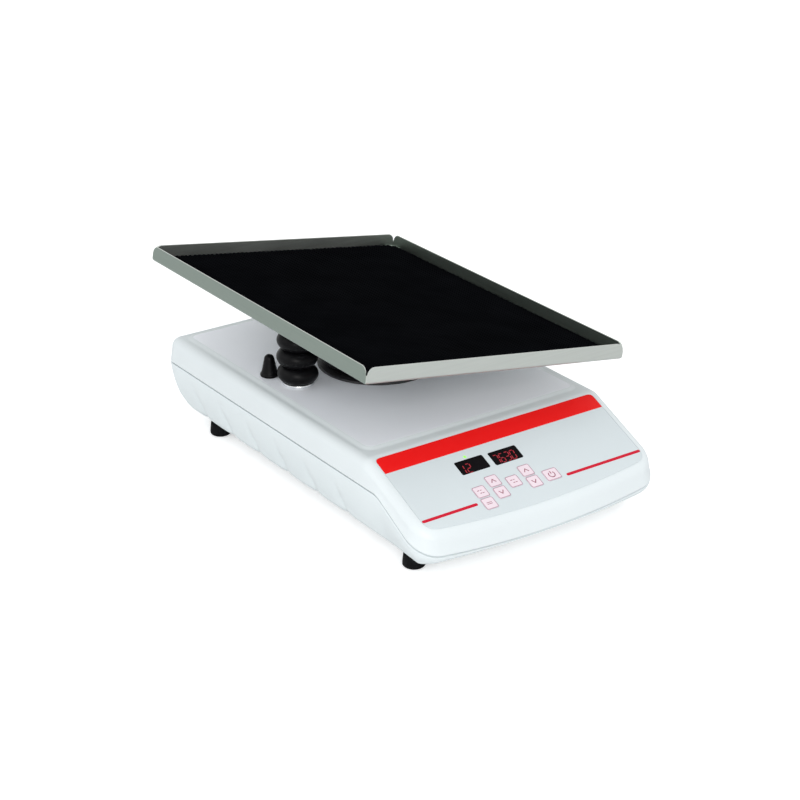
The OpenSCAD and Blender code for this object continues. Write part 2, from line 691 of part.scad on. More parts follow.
module stepper_motor() color([0.2, 0.2, 0.22]) {
    y0 = gearbox_y + gearbox_l;
    translate([gear_x, 0, rocker_z]) {
        along_y(y0, y0 + 8) rounded_rect(motor_w, motor_w, 4);
        along_y(y0 + 8 - eps, y0 + motor_l - 8) rounded_rect(motor_w - 1.5, motor_w - 1.5, 7);
        along_y(y0 + motor_l - 8 - eps, y0 + motor_l) rounded_rect(motor_w, motor_w, 4);
    }
}

// --- Gears ---
function involute(r, base) = let (a = acos(min(1, base / r))) tan(a) * 180 / PI - a;
pressure_angle = 20;
gear_backlash = 0.3;
function half_tooth(r, teeth) =
    let (pr = gear_module * teeth / 2, base = pr * cos(pressure_angle))
    90 / teeth - gear_backlash / 4 / pr * 180 / PI + involute(pr, base) - involute(max(r, base), base);
function tooth(teeth, centre) =
    let (
        pr = gear_module * teeth / 2,
        rs = [for (i = [0 : 5]) pr - 1.25 * gear_module + 2.2 * gear_module * i / 5]
    )
    concat(
        [for (i = [0 : 5]) let (a = centre - half_tooth(rs[i], teeth)) [rs[i] * cos(a), rs[i] * sin(a)]],
        [for (i = [5 : -1 : 0]) let (a = centre + half_tooth(rs[i], teeth)) [rs[i] * cos(a), rs[i] * sin(a)]]);

module pinion_profile() polygon([for (k = [0 : pinion_teeth - 1]) each tooth(pinion_teeth, (k + 0.5) * 360 / pinion_teeth)]);

sector_rim = 5;          // radial depth of the sector under its teeth
module sector_profile() {
    step = 360 / sector_teeth;
    edge = (sector_side_teeth + 0.5) * step;
    root = sector_r - 1.25 * gear_module;
    inner = root - sector_rim;
    polygon(concat(
        [[inner * cos(-edge), inner * sin(-edge)], [root * cos(-edge), root * sin(-edge)]],
        [for (k = [-sector_side_teeth : sector_side_teeth]) each tooth(sector_teeth, k * step)],
        [[root * cos(edge), root * sin(edge)], [inner * cos(edge), inner * sin(edge)]],
        [for (i = [3 : -1 : -3]) [inner * cos(edge * i / 4), inner * sin(edge * i / 4)]]));
}

// Turns with the rocker: children are drawn with the arm level
module rocker_turn() translate([0, 0, rocker_z]) rotate([0, rest_tilt, 0]) children();

hub_r = 12;
hub_y = cheek_y - 0.5;
module sector_gear() color([0.75, 0.76, 0.78]) rocker_turn() difference() {
    union() {
        along_y(sector_y[0], sector_y[1]) {
            sector_profile();
            circle(r = hub_r);
            polygon([
                [0, -hub_r + 1], [sector_r - 6, -10], [sector_r - 5.5, 0], [sector_r - 6, 10], [0, hub_r - 1],
            ]);
        }
        along_y(sector_y[1] - eps, hub_y) circle(r = hub_r);
    }
    along_y(-1, 30) circle(d = rocker_shaft_d + 2 * seat_gap);
    along_y(-1, 30) translate([21, 0]) circle(r = 4.5);
}

arm_half_t = 4;
fork_half_t = 8;
eye_half_t = 3;
fork_gap = 0.4;
fork_r = 7.5;
module rocker_arm() color([0.68, 0.70, 0.73]) rocker_turn() difference() {
    union() {
        along_y(-hub_y, sector_y[0] - 0.2) circle(r = hub_r);
        along_y(-arm_half_t, arm_half_t) polygon([
            [0, -hub_r + 0.5], [-drive_arm + 16, -fork_r + 0.5], [-drive_arm + 16, fork_r - 0.5], [0, hub_r - 0.5],
        ]);
        along_y(-fork_half_t, fork_half_t) {
            translate([-drive_arm, 0]) circle(r = fork_r);
            translate([-drive_arm, -fork_r]) square([18, 2 * fork_r]);
        }
    }
    along_y(-40, 40) circle(d = rocker_shaft_d + 2 * seat_gap);
    along_y(-40, 40) translate([-drive_arm, 0]) circle(d = link_pin_d + 2 * seat_gap);
    along_y(-eye_half_t - fork_gap, eye_half_t + fork_gap)
        translate([-drive_arm - 20, -20]) square([20 + eye_room, 40]);
    along_y(-40, 40) translate([-drive_arm / 2, 0]) circle(r = 4.5);
}

link_eye_r = 6.5;
eye_room = link_eye_r + 2.5;
clip_t = 1;
clip_gap = 0.4;
shaft_end = 3;
// Shaft with a clip groove near each end, lying along Y
module clipped_shaft(d, clip_at) {
    groove_r = d / 2 - 0.8;
    end = clip_at + clip_t + shaft_end;
    rotate([-90, 0, 0]) rotate_extrude() polygon([
        [0, -end], [d / 2 - 0.5, -end], [d / 2, -end + 0.5], [d / 2, -clip_at - clip_t], [groove_r, -clip_at - clip_t],
        [groove_r, -clip_at], [d / 2, -clip_at], [d / 2, clip_at], [groove_r, clip_at],
        [groove_r, clip_at + clip_t], [d / 2, clip_at + clip_t], [d / 2, end - 0.5], [d / 2 - 0.5, end], [0, end],
    ]);
}

module clip_pair(d, clip_at) for (s = [-1, 1]) translate([0, s * (clip_at + clip_t / 2), 0])
    rotate([90, 0, 0]) difference() {
        cylinder(r = d / 2 + 2.5, h = clip_t - 2 * seat_gap, center = true);
        cylinder(r = d / 2 - 0.8 + seat_gap, h = 5, center = true);
        translate([0, -d / 2 - 3, 0]) cube([d - 3, d + 2, 5], center = true);
    }

bush_face = cheek_out + bush_flange_t;
module rocker_shaft() color("silver") rocker_turn() clipped_shaft(rocker_shaft_d, bush_face + clip_gap);
module rocker_clips() color([0.3, 0.3, 0.32]) rocker_turn() clip_pair(rocker_shaft_d, bush_face + clip_gap);
module crank_pin() color("silver") rocker_turn() translate([-drive_arm, 0, 0]) rotate([90, 0, 0])
    cylinder(d = link_pin_d, h = 2 * fork_half_t + 1, center = true);

module motor_turn() translate([gear_x, 0, rocker_z]) rotate([0, -rest_tilt * sector_teeth / pinion_teeth, 0]) children();
module drive_pinion() color([0.78, 0.66, 0.35]) motor_turn() difference() {
    along_y(pinion_y[0], pinion_y[1]) pinion_profile();
    along_y(-5, 30) circle(d = motor_shaft_d + 2 * seat_gap);
}
module motor_shaft() color("silver") motor_turn()
    along_y(pinion_y[0] - 1.5, gearbox_y + 17) circle(d = motor_shaft_d);

// --- Link rod, upright at every tilt ---
link_x = -drive_arm * cos(rest_tilt);
link_lift = drive_arm * sin(rest_tilt);
open_gap = 0.25;    // radial clearance at the pivot where the loop is open
module link_rod() color([0.75, 0.76, 0.78]) translate([link_x, 0, link_lift]) difference() {
    union() {
        for (z = [rocker_z, pivot_z]) translate([0, 0, z]) along_y(-eye_half_t, eye_half_t) circle(r = link_eye_r);
        translate([0, 0, rocker_z + 5]) cylinder(d = link_rod_d - 1.2, h = pivot_z - rocker_z - 10);
        for (z = [rocker_z + 9, pivot_z - 19]) translate([0, 0, z])
            cylinder(d = link_rod_d + 0.8, h = 10, $fn = 6);
    }
    translate([0, 0, rocker_z]) along_y(-10, 10) circle(d = link_pin_d + 2 * run_gap);
    translate([0, 0, pivot_z]) along_y(-10, 10) circle(d = link_pin_d + 2 * open_gap);
}

// --- Tray body, drawn level and turned to the rest angle ---
module tray_turn() translate([0, 0, pivot_z]) rotate([0, rest_tilt, 0]) children();

module lip(l) {
    square([l, lip_h - lip_corner_r]);
    translate([lip_corner_r, 0]) square([l - 2 * lip_corner_r, lip_h]);
    for (x = [lip_corner_r, l - lip_corner_r]) translate([x, lip_h - lip_corner_r]) circle(r = lip_corner_r, $fn = 32);
}

bend_r = 1.5;
module tray() color([0.72, 0.73, 0.72]) tray_turn() difference() {
    translate([0, 0, tray_rise]) {
        translate([-tray_w / 2, -tray_l / 2, 0]) cube([tray_w, tray_l, tray_t]);
        for (s = [-1, 1]) {
            translate([-tray_w / 2, s * (tray_l - tray_t) / 2 + tray_t / 2, 0])
                rotate([90, 0, 0]) linear_extrude(tray_t) lip(tray_w);
            translate([s * (tray_w - tray_t) / 2 - tray_t / 2, -tray_l / 2, 0])
                rotate([90, 0, 90]) linear_extrude(tray_t) lip(tray_l);
        }
    }
    for (p = tray_bolts) translate([p[0], p[1], 0]) cylinder(d = screw_d + 2 * run_gap, h = 2 * tray_rise);
}

mat_fit = tray_t + mat_gap;
module tray_mat() color([0.05, 0.05, 0.06]) tray_turn() translate([0, 0, tray_rise + tray_t])
    linear_extrude(mat_t) rounded_rect(tray_w - 2 * mat_fit, tray_l - 2 * mat_fit, mat_corner_r);

carrier_x = 112;
carrier_y = 62;
tray_bolts = [for (x = [-1, 1], y = [-1, 1]) [x * (carrier_x - 8), y * (carrier_y - 8)]];
carrier_top = tray_rise - seat_gap;
carrier_under = carrier_top - carrier_t;
tray_hub_r = 14;
module tray_carrier() color([0.66, 0.68, 0.71]) tray_turn() difference() {
    union() {
        translate([0, 0, carrier_under]) linear_extrude(carrier_t) rounded_rect(2 * carrier_x, 2 * carrier_y, 10);
        along_y(-hub_y, hub_y) {
            circle(r = tray_hub_r);
            translate([-tray_hub_r, 0]) square([2 * tray_hub_r, carrier_under + 1]);
        }
    }
    along_y(-40, 40) circle(d = axle_d + 2 * seat_gap);
    for (p = tray_bolts) translate([p[0], p[1], 0]) cylinder(d = screw_d + 2 * run_gap, h = 2 * tray_rise);
    translate([-drive_arm, 0, 0]) cylinder(d = screw_d + 2 * run_gap, h = 2 * tray_rise);
}

module tray_screws() color("silver") tray_turn() for (p = tray_bolts)
    translate([p[0], p[1], carrier_under - seat_gap]) pan_head_screw(screw_d, carrier_t + tray_t);

module axle() color("silver") tray_turn() clipped_shaft(axle_d, bush_face + clip_gap);
module axle_clips() color([0.3, 0.3, 0.32]) tray_turn() clip_pair(axle_d, bush_face + clip_gap);

clevis_ear_t = 2.6;
clevis_in = eye_half_t + fork_gap;
clevis_out = clevis_in + clevis_ear_t;
clevis_base_t = 3;
module drive_clevis() color([0.68, 0.70, 0.73]) tray_turn() translate([-drive_arm, 0, 0]) difference() {
    union() {
        translate([0, 0, carrier_under - clevis_base_t - seat_gap]) cylinder(r = 8.5, h = clevis_base_t);
        cylinder(d = screw_d, h = carrier_top - 1);
        along_y(-clevis_out, clevis_out) {
            circle(r = link_eye_r);
            translate([-link_eye_r, 0]) square([2 * link_eye_r, carrier_under - clevis_base_t]);
        }
    }
    along_y(-clevis_in, clevis_in)
        translate([-20, -20]) square([40, 20 + carrier_under - clevis_base_t - 0.5]);
    along_y(-20, 20) circle(d = link_pin_d + 2 * seat_gap);
}
module clevis_pin() color("silver") tray_turn() translate([-drive_arm, 0, 0]) rotate([90, 0, 0])
    cylinder(d = link_pin_d, h = 2 * clevis_out + 0.8, center = true);

// --- Rubber boots: level at the housing, tilted with the tray at the top ---
ring_t = 2.5;
boot_low = deck_z + ring_t;
boot_span = pivot_z + carrier_under - side_gap - boot_low;
// Point of a boot at a share of its height: turned about the axle by that share of the tilt
function leaned(x, y, share) =
    let (a = rest_tilt * share, z = boot_low + boot_span * share - pivot_z)
    [x * cos(a) + z * sin(a), y, pivot_z - x * sin(a) + z * cos(a)];
// Ring of a boot whose middle goes from one place across the housing to another
function boot_ring(across, r, share, count) =
    let (cx = across[0] + (across[1] - across[0]) * share)
    [for (i = [0 : count - 1]) let (a = 90 - 360 * (i + 0.5) / count) leaned(cx + r * cos(a), r * sin(a), share)];
// Radius at a share of the height: the folds fill the lower part, and a plain neck the rest
function fold_r(outer, neck, folds, part, share) =
    let (t = share / part * folds)
    share > part ? neck : neck + (outer - neck) * sqrt(max(0, sin(180 * (t - floor(t)))));

module folded_boot(across, outer, neck, folds, part, steps, count) {
    levels = folds * steps;
    shares = concat([for (k = [0 : levels]) k / levels * part], part < 1 ? [1] : []);
    difference() {
        skin([for (s = shares)
            boot_ring(across, fold_r(outer / 2, neck / 2, folds, part, s), s, count)]);
        skin([for (k = [0 : 4]) boot_ring(across, neck / 2 - rubber_t, -0.02 + 1.04 * k / 4, count)]);
    }
}

module drive_bellows() color([0.05, 0.05, 0.06])
    folded_boot([rod_hole_x, -drive_arm], bellows_d, bellows_neck_d, bellows_folds, 0.78, 8, 27);
module central_boot() color([0.05, 0.05, 0.06])
    folded_boot([0, 0], boot_d, boot_d - 14, boot_folds, 1, 5, 41);

module flat_ring(outer, inner) rotate_extrude() polygon([
    [inner / 2, 0], [outer / 2, 0], [outer / 2, ring_t - 0.8], [outer / 2 - 0.8, ring_t], [inner / 2, ring_t],
]);
module boot_clamp_ring() color([0.08, 0.08, 0.09]) translate([0, 0, deck_z]) flat_ring(boot_ring_d, boot_hole_d);
module bellows_collar() color([0.85, 0.87, 0.9]) translate([rod_hole_x, 0, deck_z]) flat_ring(collar_d, rod_hole_d);

// --- Bump stops under the tray's carrier ---
bump_x = half_w - 30.4;
bump_y = 29.3;
module bump_stops() color([0.05, 0.05, 0.06]) for (s = [-1, 1]) translate([s * bump_x, bump_y, deck_z]) {
    r = bump_d / 2;
    tip = 4.8;
    rotate_extrude() union() {
        polygon([
            [0, 0], [r - 0.6, 0], [r, 0.8], [r, 2.2], [r - 1.2, 3.6], [tip, bump_h - tip], [0, bump_h - tip],
        ]);
        intersection() {
            translate([0, bump_h - tip]) circle(r = tip, $fn = 32);
            square([tip, bump_h]);
        }
    }
    translate([0, 0, -deck_step - deck_t - 3]) cylinder(d = screw_d, h = deck_step + deck_t + 4);
}

// --- Power supply and inlet ---
supply_place = [-26, 112];
supply_size = [84, 48];
pillar_h = 6;
supply_z = pedestal_z + pillar_h;
pillar_places = [for (x = [-1, 1], y = [-1, 1])
    [supply_place[0] + x * (supply_size[0] / 2 - 4), supply_place[1] + y * (supply_size[1] / 2 - 4)]];

module power_board() color([0.1, 0.35, 0.2]) difference() {
    translate([supply_place[0], supply_place[1], supply_z + board_t / 2])
        cube([supply_size[0], supply_size[1], board_t], center = true);
    for (p = pillar_places) translate([p[0], p[1], supply_z - 1]) cylinder(d = screw_d - 0.9, h = 5, $fn = 32);
}
module board_pillars() color("silver") for (p = pillar_places) translate([p[0], p[1], pedestal_z]) {
    cylinder(d = 6.5, h = pillar_h, $fn = 6);
    cylinder(d = screw_d - 1, h = pillar_h + board_t + 2, $fn = 32);
    translate([0, 0, -chassis_t]) cylinder(d = screw_d - 1, h = chassis_t + 1, $fn = 32);
}
module power_transformer() color([0.85, 0.75, 0.35]) {
    z = supply_z + board_t;
    translate([supply_place[0] - 14, supply_place[1], z]) {
        translate([-15, -10, 0]) cube([30, 20, 27]);
        translate([-11, -17, 4]) cube([22, 34, 19]);
    }
}
module filter_capacitors() color([0.15, 0.18, 0.3]) for (y = [-13, 5])
    translate([supply_place[0] + 22, supply_place[1] + y, supply_z + board_t]) {
        cylinder(d = 16, h = 24);
        cylinder(d = 12, h = 25);
    }

// Mains inlet of the 24 by 16 mm kind, on a two-screw flange
inlet_body = [32, 21.5];
socket_size = [24.4, 16.4];
socket_deep = 17;
flange_t = 2.5;
inlet_screw_span = 40;
module inlet_screw_place(s) translate([inlet_x + s * inlet_screw_span / 2, inlet_y, inlet_z]) rotate([90, 0, 0]) children();
module inlet_cut(grow) translate([inlet_x, 0, inlet_z]) along_y(inlet_y - 8, inlet_y + 1)
    rounded_rect(inlet_body[0] + 2 * grow, inlet_body[1] + 2 * grow, 2);

module power_inlet() color([0.08, 0.08, 0.09]) difference() {
    translate([inlet_x, 0, inlet_z]) {
        difference() {
            union() {
                along_y(inlet_y, inlet_y + flange_t) rounded_rect(inlet_flange[0], inlet_flange[1], 5);
                along_y(inlet_y - 24, inlet_y + eps) rounded_rect(inlet_body[0], inlet_body[1], 2);
            }
            along_y(inlet_y + flange_t - socket_deep, inlet_y + 10) polygon([
                [-socket_size[0] / 2, -socket_size[1] / 2], [socket_size[0] / 2, -socket_size[1] / 2],
                [socket_size[0] / 2, socket_size[1] / 2 - 5], [socket_size[0] / 2 - 5, socket_size[1] / 2],
                [-socket_size[0] / 2 + 5, socket_size[1] / 2], [-socket_size[0] / 2, socket_size[1] / 2 - 5],
            ]);
        }
        for (b = [[-7, -2], [7, -2], [0, 2]]) translate([b[0] - 1, inlet_y + flange_t - socket_deep - 1, b[1] - 2])
            cube([2, 15, 4]);
        for (b = [-7, 0, 7]) translate([b - 0.4, inlet_y - 32, -3]) cube([0.8, 9, 6]);
    }
    for (s = [-1, 1]) inlet_screw_place(s) cylinder(d = 3.4, h = 20, center = true);
}

module inlet_screws() color("silver") for (s = [-1, 1])
    translate([0, flange_t, 0]) inlet_screw_place(s) pan_head_screw(2.9, flange_t + 6);

bottom_pan();
top_cover();
rubber_feet();
foot_screws();
cover_screws();
panel_overlay();
display_lenses();
speed_display();
timer_display();
status_led();
control_board();
key_switches();
board_standoffs();
board_screws();
chassis_plate();
chassis_screws();
pedestal();
axle_bushes();
rocker_bushes();
motor_bracket();
gearbox();
stepper_motor();
motor_screws();
power_board();
board_pillars();
power_transformer();
filter_capacitors();
power_inlet();
inlet_screws();
boot_clamp_ring();
central_boot();
bellows_collar();
drive_bellows();
bump_stops();
tray();
tray_mat();
tray_carrier();
tray_screws();
axle();
axle_clips();
drive_clevis();
clevis_pin();
rocker_arm();
sector_gear();
rocker_shaft();
rocker_clips();
crank_pin();
link_rod();
drive_pinion();
motor_shaft();
key_speed_run();
key_mode();
key_speed_up();
key_speed_down();
key_time_run();
key_time_up();
key_time_down();
key_power();
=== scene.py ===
import json
import math

import bmesh
import bpy
import numpy as np
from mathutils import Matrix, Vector


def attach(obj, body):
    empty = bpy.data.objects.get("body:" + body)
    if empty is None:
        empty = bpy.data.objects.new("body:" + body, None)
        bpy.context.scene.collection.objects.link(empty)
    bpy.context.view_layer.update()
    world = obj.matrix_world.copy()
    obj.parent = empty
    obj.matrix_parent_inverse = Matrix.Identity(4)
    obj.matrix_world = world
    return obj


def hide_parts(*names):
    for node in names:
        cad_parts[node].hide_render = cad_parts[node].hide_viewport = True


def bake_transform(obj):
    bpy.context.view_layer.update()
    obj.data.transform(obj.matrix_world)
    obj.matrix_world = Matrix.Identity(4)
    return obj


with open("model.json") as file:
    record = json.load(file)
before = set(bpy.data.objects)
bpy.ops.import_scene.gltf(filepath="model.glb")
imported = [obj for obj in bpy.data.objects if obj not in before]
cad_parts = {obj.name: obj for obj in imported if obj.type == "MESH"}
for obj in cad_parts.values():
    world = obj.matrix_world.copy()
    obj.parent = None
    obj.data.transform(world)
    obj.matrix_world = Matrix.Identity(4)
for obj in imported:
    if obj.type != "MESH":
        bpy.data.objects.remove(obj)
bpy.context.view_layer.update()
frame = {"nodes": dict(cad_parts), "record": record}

MM = 0.001
record = frame["record"]

# ---------------------------------------------------------------- sizes (mm)
# the tray's axle, and the tilt at which the tray was photographed
PIVOT_Z, TILT = 118.4, math.radians(9.2)
CT, ST = math.cos(TILT), math.sin(TILT)
# housing seen from above: half width, back and front edges, radius of the bowed front, corner radii
HALF_W, BACK, FRONT, BOW = 129.4, 169.8, 256.5, 940.0
R_BACK, R_FRONT, R_LEAST = 13.0, 24.0, 2.0
STRAIGHT = 5000  # a bow this large is as good as straight
# heights of the seam, the cover's flat top and the raised deck
SEAM_Z, TOP_Z, DECK_Z = 63.0, 86.0, 87.5
DECK_BACK, DECK_FRONT, DECK_HALF_W, DECK_R = 151.0, 148.0, 110.5, 6
# where the panel and the seam begin to slope down, and how steeply
PANEL_Y, PANEL_A = -162.5, math.radians(23.5)
SEAM_Y, SEAM_A = -185.0, math.radians(28.0)
# panel film: way down the slope, half width, length, thickness, corner radii, radius of its bowed edge
OVER_S = 2.8
OVER_W, OVER_L, OVER_T = 117.5, 92.5, 0.8
OVER_R_TOP, OVER_R_FRONT, OVER_BOW, OVER_SIDE_Y = 4.5, 12, 800, -40
# holes in the deck for the central boot and the drive's bellows, and the bellows' place
BOOT_HOLE, BELLOWS_HOLE, BELLOWS_X = 44, 12.5, -86.5
# mains inlet: the middle of its opening in the back wall
INLET_X, INLET_Z = 70, 41


def smooth_bend(y, y0, slope, r):
    """Height lost in front of y0 on a plane of this slope, with a soft bend 2 r long."""
    d = y0 - y
    if d <= -r:
        return 0.0
    if d >= r:
        return d * slope
    return slope * (d + r) ** 2 / (4 * r)


def top_at(y):
    return TOP_Z - smooth_bend(y, PANEL_Y, math.tan(PANEL_A), 3.0)


def seam_at(y):
    return SEAM_Z - smooth_bend(y, SEAM_Y, math.tan(SEAM_A), 5.0)


def arc(cx, cy, r, a0, a1, n):
    return [(cx + r * math.cos(math.radians(a0 + (a1 - a0) * i / n)),
             cy + r * math.sin(math.radians(a0 + (a1 - a0) * i / n))) for i in range(n + 1)]


def half_outline(w, back, front, bow, rb, rf, ys, nb=14, nf=16, nbow=14):
    """Right half of a rounded rectangle with a bowed front, from the back to the front's middle."""
    tilt = math.degrees(math.asin((w - rf) / (bow - rf)))
    fy = -front + bow - math.sqrt((bow - rf) ** 2 - (w - rf) ** 2)
    return (arc(w - rb, back - rb, rb, 90, 0, nb) + [(w, y) for y in ys]
            + arc(w - rf, fy, rf, 0, tilt - 90, nf) + arc(0, bow - front, bow, tilt - 90, -90, nbow)[1:])


def housing_half(inset, ys, least=R_LEAST):
    return half_outline(HALF_W - inset, BACK - inset, FRONT - inset, BOW - inset, max(R_BACK - inset, least),
                        max(R_FRONT - inset, least), ys)


def whole(half):
    return half + [(-x, y) for x, y in half[-2::-1]]


# ---------------------------------------------------------------- mesh tools
def link(ob):
    bpy.context.scene.collection.objects.link(ob)
    return ob


def new_mesh(name, verts, faces, place=None):
    me = bpy.data.meshes.new(name)
    pts = [place(p) if place else p for p in verts]
    me.from_pydata([(x * MM, y * MM, z * MM) for x, y, z in pts], [], faces)
    bm = bmesh.new()
    bm.from_mesh(me)
    bmesh.ops.recalc_face_normals(bm, faces=bm.faces)
    bm.to_mesh(me)
    bm.free()
    return link(bpy.data.objects.new(name, me))


def skin(rings, cap="fan"):
    """Vertices and faces of a closed skin over rings of equal count.

    cap 'fan' closes each end with one face, 'strip' pairs mirrored points across it, and 'loop' joins the last
    ring to the first.
    """
    n, m = len(rings[0]), len(rings)
    verts = [p for r in rings for p in r]
    faces = [(k * n + i, k * n + (i + 1) % n, (k + 1) % m * n + (i + 1) % n, (k + 1) % m * n + i)
             for k in range(m if cap == "loop" else m - 1) for i in range(n)]
    if cap == "loop":
        return verts, faces
    for base in (0, (m - 1) * n):
        if cap == "strip":
            for i in range((n - 1) // 2):
                j = n - 1 - i
                quad = [base + i, base + i + 1, base + j - 1, base + j]
                faces.append(tuple(dict.fromkeys(quad)))
        else:
            faces.append(tuple(range(base, base + n)))
    return verts, faces


def turn(profile, steps, cx=0.0, cy=0.0, cap="fan"):
    """Ring of revolution from (radius, z) points."""
    return skin([[(cx + r * math.cos(2 * math.pi * i / steps), cy + r * math.sin(2 * math.pi * i / steps), z)
                  for i in range(steps)] for r, z in profile], cap)



def slab(outline, z0, z1):
    """Plate from a 2D outline."""
    return skin([[(x, y, z0) for x, y in outline], [(x, y, z1) for x, y in outline]])


def merge(*parts):
    verts, faces = [], []
    for v, f in parts:
        k = len(verts)
        verts += list(v)
        faces += [tuple(i + k for i in g) for g in f]
    return verts, faces


def cuboid(lo, hi):
    (a, b, c), (d, e, f) = lo, hi
    return slab([(a, b), (d, b), (d, e), (a, e)], c, f)


def round_rect(w, l, r, n=6, cx=0.0, cy=0.0):
    return [(cx + x, cy + y) for x, y in
            arc(w / 2 - r, l / 2 - r, r, 90, 0, n) + arc(w / 2 - r, -l / 2 + r, r, 0, -90, n)
            + arc(-w / 2 + r, -l / 2 + r, r, -90, -180, n) + arc(-w / 2 + r, l / 2 - r, r, 180, 90, n)]


def freeze(ob):
    """Applies an object's modifiers."""
    dg = bpy.context.evaluated_depsgraph_get()
    me = bpy.data.meshes.new_from_object(ob.evaluated_get(dg))
    old = ob.data
    ob.modifiers.clear()
    ob.data = me
    bpy.data.meshes.remove(old)
    return ob


def combine(ob, other, how):
    m = ob.modifiers.new("cut", "BOOLEAN")
    m.operation, m.solver, m.object = how, "EXACT", other
    m.use_self = False
    freeze(ob)
    bpy.data.objects.remove(other)
    return ob


def shade(ob, angle=32, bevel=0.0, segments=2):
    """Smooth shading with edges over the angle kept sharp, and those edges softened by a fine bevel."""
    if bevel:
        m = ob.modifiers.new("edge", "BEVEL")
        m.width, m.segments, m.limit_method, m.angle_limit = bevel * MM, segments, "ANGLE", math.radians(angle)
        m.use_clamp_overlap, m.harden_normals = True, False
        freeze(ob)
    bm = bmesh.new()
    bm.from_mesh(ob.data)
    for f in bm.faces:
        f.smooth = True
    for e in bm.edges:
        e.smooth = len(e.link_faces) == 2 and e.calc_face_angle(0) < math.radians(angle)
    bm.to_mesh(ob.data)
    bm.free()
    m = ob.modifiers.new("normals", "WEIGHTED_NORMAL")
    m.keep_sharp, m.weight = True, 60
    freeze(ob)
    return ob


def finish_piece(ob, mat, body=None, nodes=()):
    ob.data.materials.clear()
    ob.data.materials.append(mat)
    if body:
        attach(ob, body)
    if nodes:
        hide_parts(*nodes)
    return ob


def in_tray(p):
    x, y, z = p
    return (x * CT + z * ST, y, PIVOT_Z - x * ST + z * CT)


def on_panel(p):
    """From across the panel, down the slope from the overlay's edge, and out of it."""
    x, s, n = p
    s += OVER_S
    c, t = math.cos(PANEL_A), math.sin(PANEL_A)
    return (x, PANEL_Y - s * c - n * t, TOP_Z - s * t + n * c)


def panel_plate(outline, n0, n1):
    return slab([(x, s) for x, s in outline], n0, n1)


# ---------------------------------------------------------------- materials
class Nodes:
    """Short hand for building a material's nodes."""

    def __init__(self, name):
        self.mat = bpy.data.materials.new(name)
        self.mat.use_nodes = True
        self.t = self.mat.node_tree
        self.bsdf = self.t.nodes["Principled BSDF"]
        self.coord = self.t.nodes.new("ShaderNodeTexCoord")

    def set(self, **values):
        for k, v in values.items():
            self.bsdf.inputs[k.replace("_", " ")].default_value = v
        return self

    def space(self, scale=(1, 1, 1), rot=(0, 0, 0)):
        m = self.t.nodes.new("ShaderNodeMapping")
        m.inputs["Scale"].default_value = scale
        m.inputs["Rotation"].default_value = rot
        self.t.links.new(self.coord.outputs["Object"], m.inputs["Vector"])
        return m.outputs["Vector"]

    def noise(self, scale, detail=2.0, vector=None, rough=0.5):
        n = self.t.nodes.new("ShaderNodeTexNoise")
        n.inputs["Scale"].default_value, n.inputs["Detail"].default_value = scale, detail
        n.inputs["Roughness"].default_value = rough
        self.t.links.new(vector or self.coord.outputs["Object"], n.inputs["Vector"])
        return n.outputs["Fac"]

    def ramp(self, fac, stops):
        r = self.t.nodes.new("ShaderNodeValToRGB")
        el = r.color_ramp.elements
        while len(el) < len(stops):
            el.new(0.5)
        for e, (p, c) in zip(el, stops):
            e.position, e.color = p, (*c, 1) if len(c) == 3 else c
        self.t.links.new(fac, r.inputs["Fac"])
        return r.outputs["Color"]

    def math(self, op, a, b=0.5):
        m = self.t.nodes.new("ShaderNodeMath")
        m.operation = op
        for k, v in enumerate((a, b)):
            if isinstance(v, (int, float)):
                m.inputs[k].default_value = v
            else:
                self.t.links.new(v, m.inputs[k])
        return m.outputs[0]

    def span(self, fac, lo, hi):
        m = self.t.nodes.new("ShaderNodeMapRange")
        m.inputs["To Min"].default_value, m.inputs["To Max"].default_value = lo, hi
        self.t.links.new(fac, m.inputs["Value"])
        return m.outputs["Result"]

    def bump(self, height, strength, distance):
        b = self.t.nodes.new("ShaderNodeBump")
        b.inputs["Strength"].default_value, b.inputs["Distance"].default_value = strength, distance
        self.t.links.new(height, b.inputs["Height"])
        self.t.links.new(b.outputs["Normal"], self.bsdf.inputs["Normal"])
        return self

    def link(self, out, socket):
        self.t.links.new(out, self.bsdf.inputs[socket])
        return self


def tint(c, k):
    return tuple(min(1.0, v * k) for v in c)


def plastic(name, colour, rough=0.42, grain=0.06, scale=2600, vary=0.02, gloss=0.45):
    """Moulded plastic: faint mottling, a fine spark-eroded grain and uneven gloss."""
    n = Nodes(name)
    cloud = n.noise(9, 3)
    n.link(n.ramp(cloud, [(0.3, tint(colour, 1 - vary)), (0.7, tint(colour, 1 + vary))]), "Base Color")
    n.link(n.span(n.noise(55, 4), rough - 0.05, rough + 0.06), "Roughness")
    n.set(Specular_IOR_Level=gloss)
    n.bump(n.noise(scale, 2), grain, 0.00012)
    return n.mat


def rubber(name, colour, rough=0.55, grain=0.25, gloss=0.3):
    """Moulded rubber: dull bloom in patches and a leathery grain."""
    n = Nodes(name)
    n.link(n.ramp(n.noise(30, 5), [(0.35, colour), (0.75, tint(colour, 1.45))]), "Base Color")
    n.link(n.span(n.noise(140, 4), rough - 0.08, rough + 0.12), "Roughness")
    n.set(Specular_IOR_Level=gloss)
    n.bump(n.noise(1100, 3), grain, 0.0002)
    return n.mat


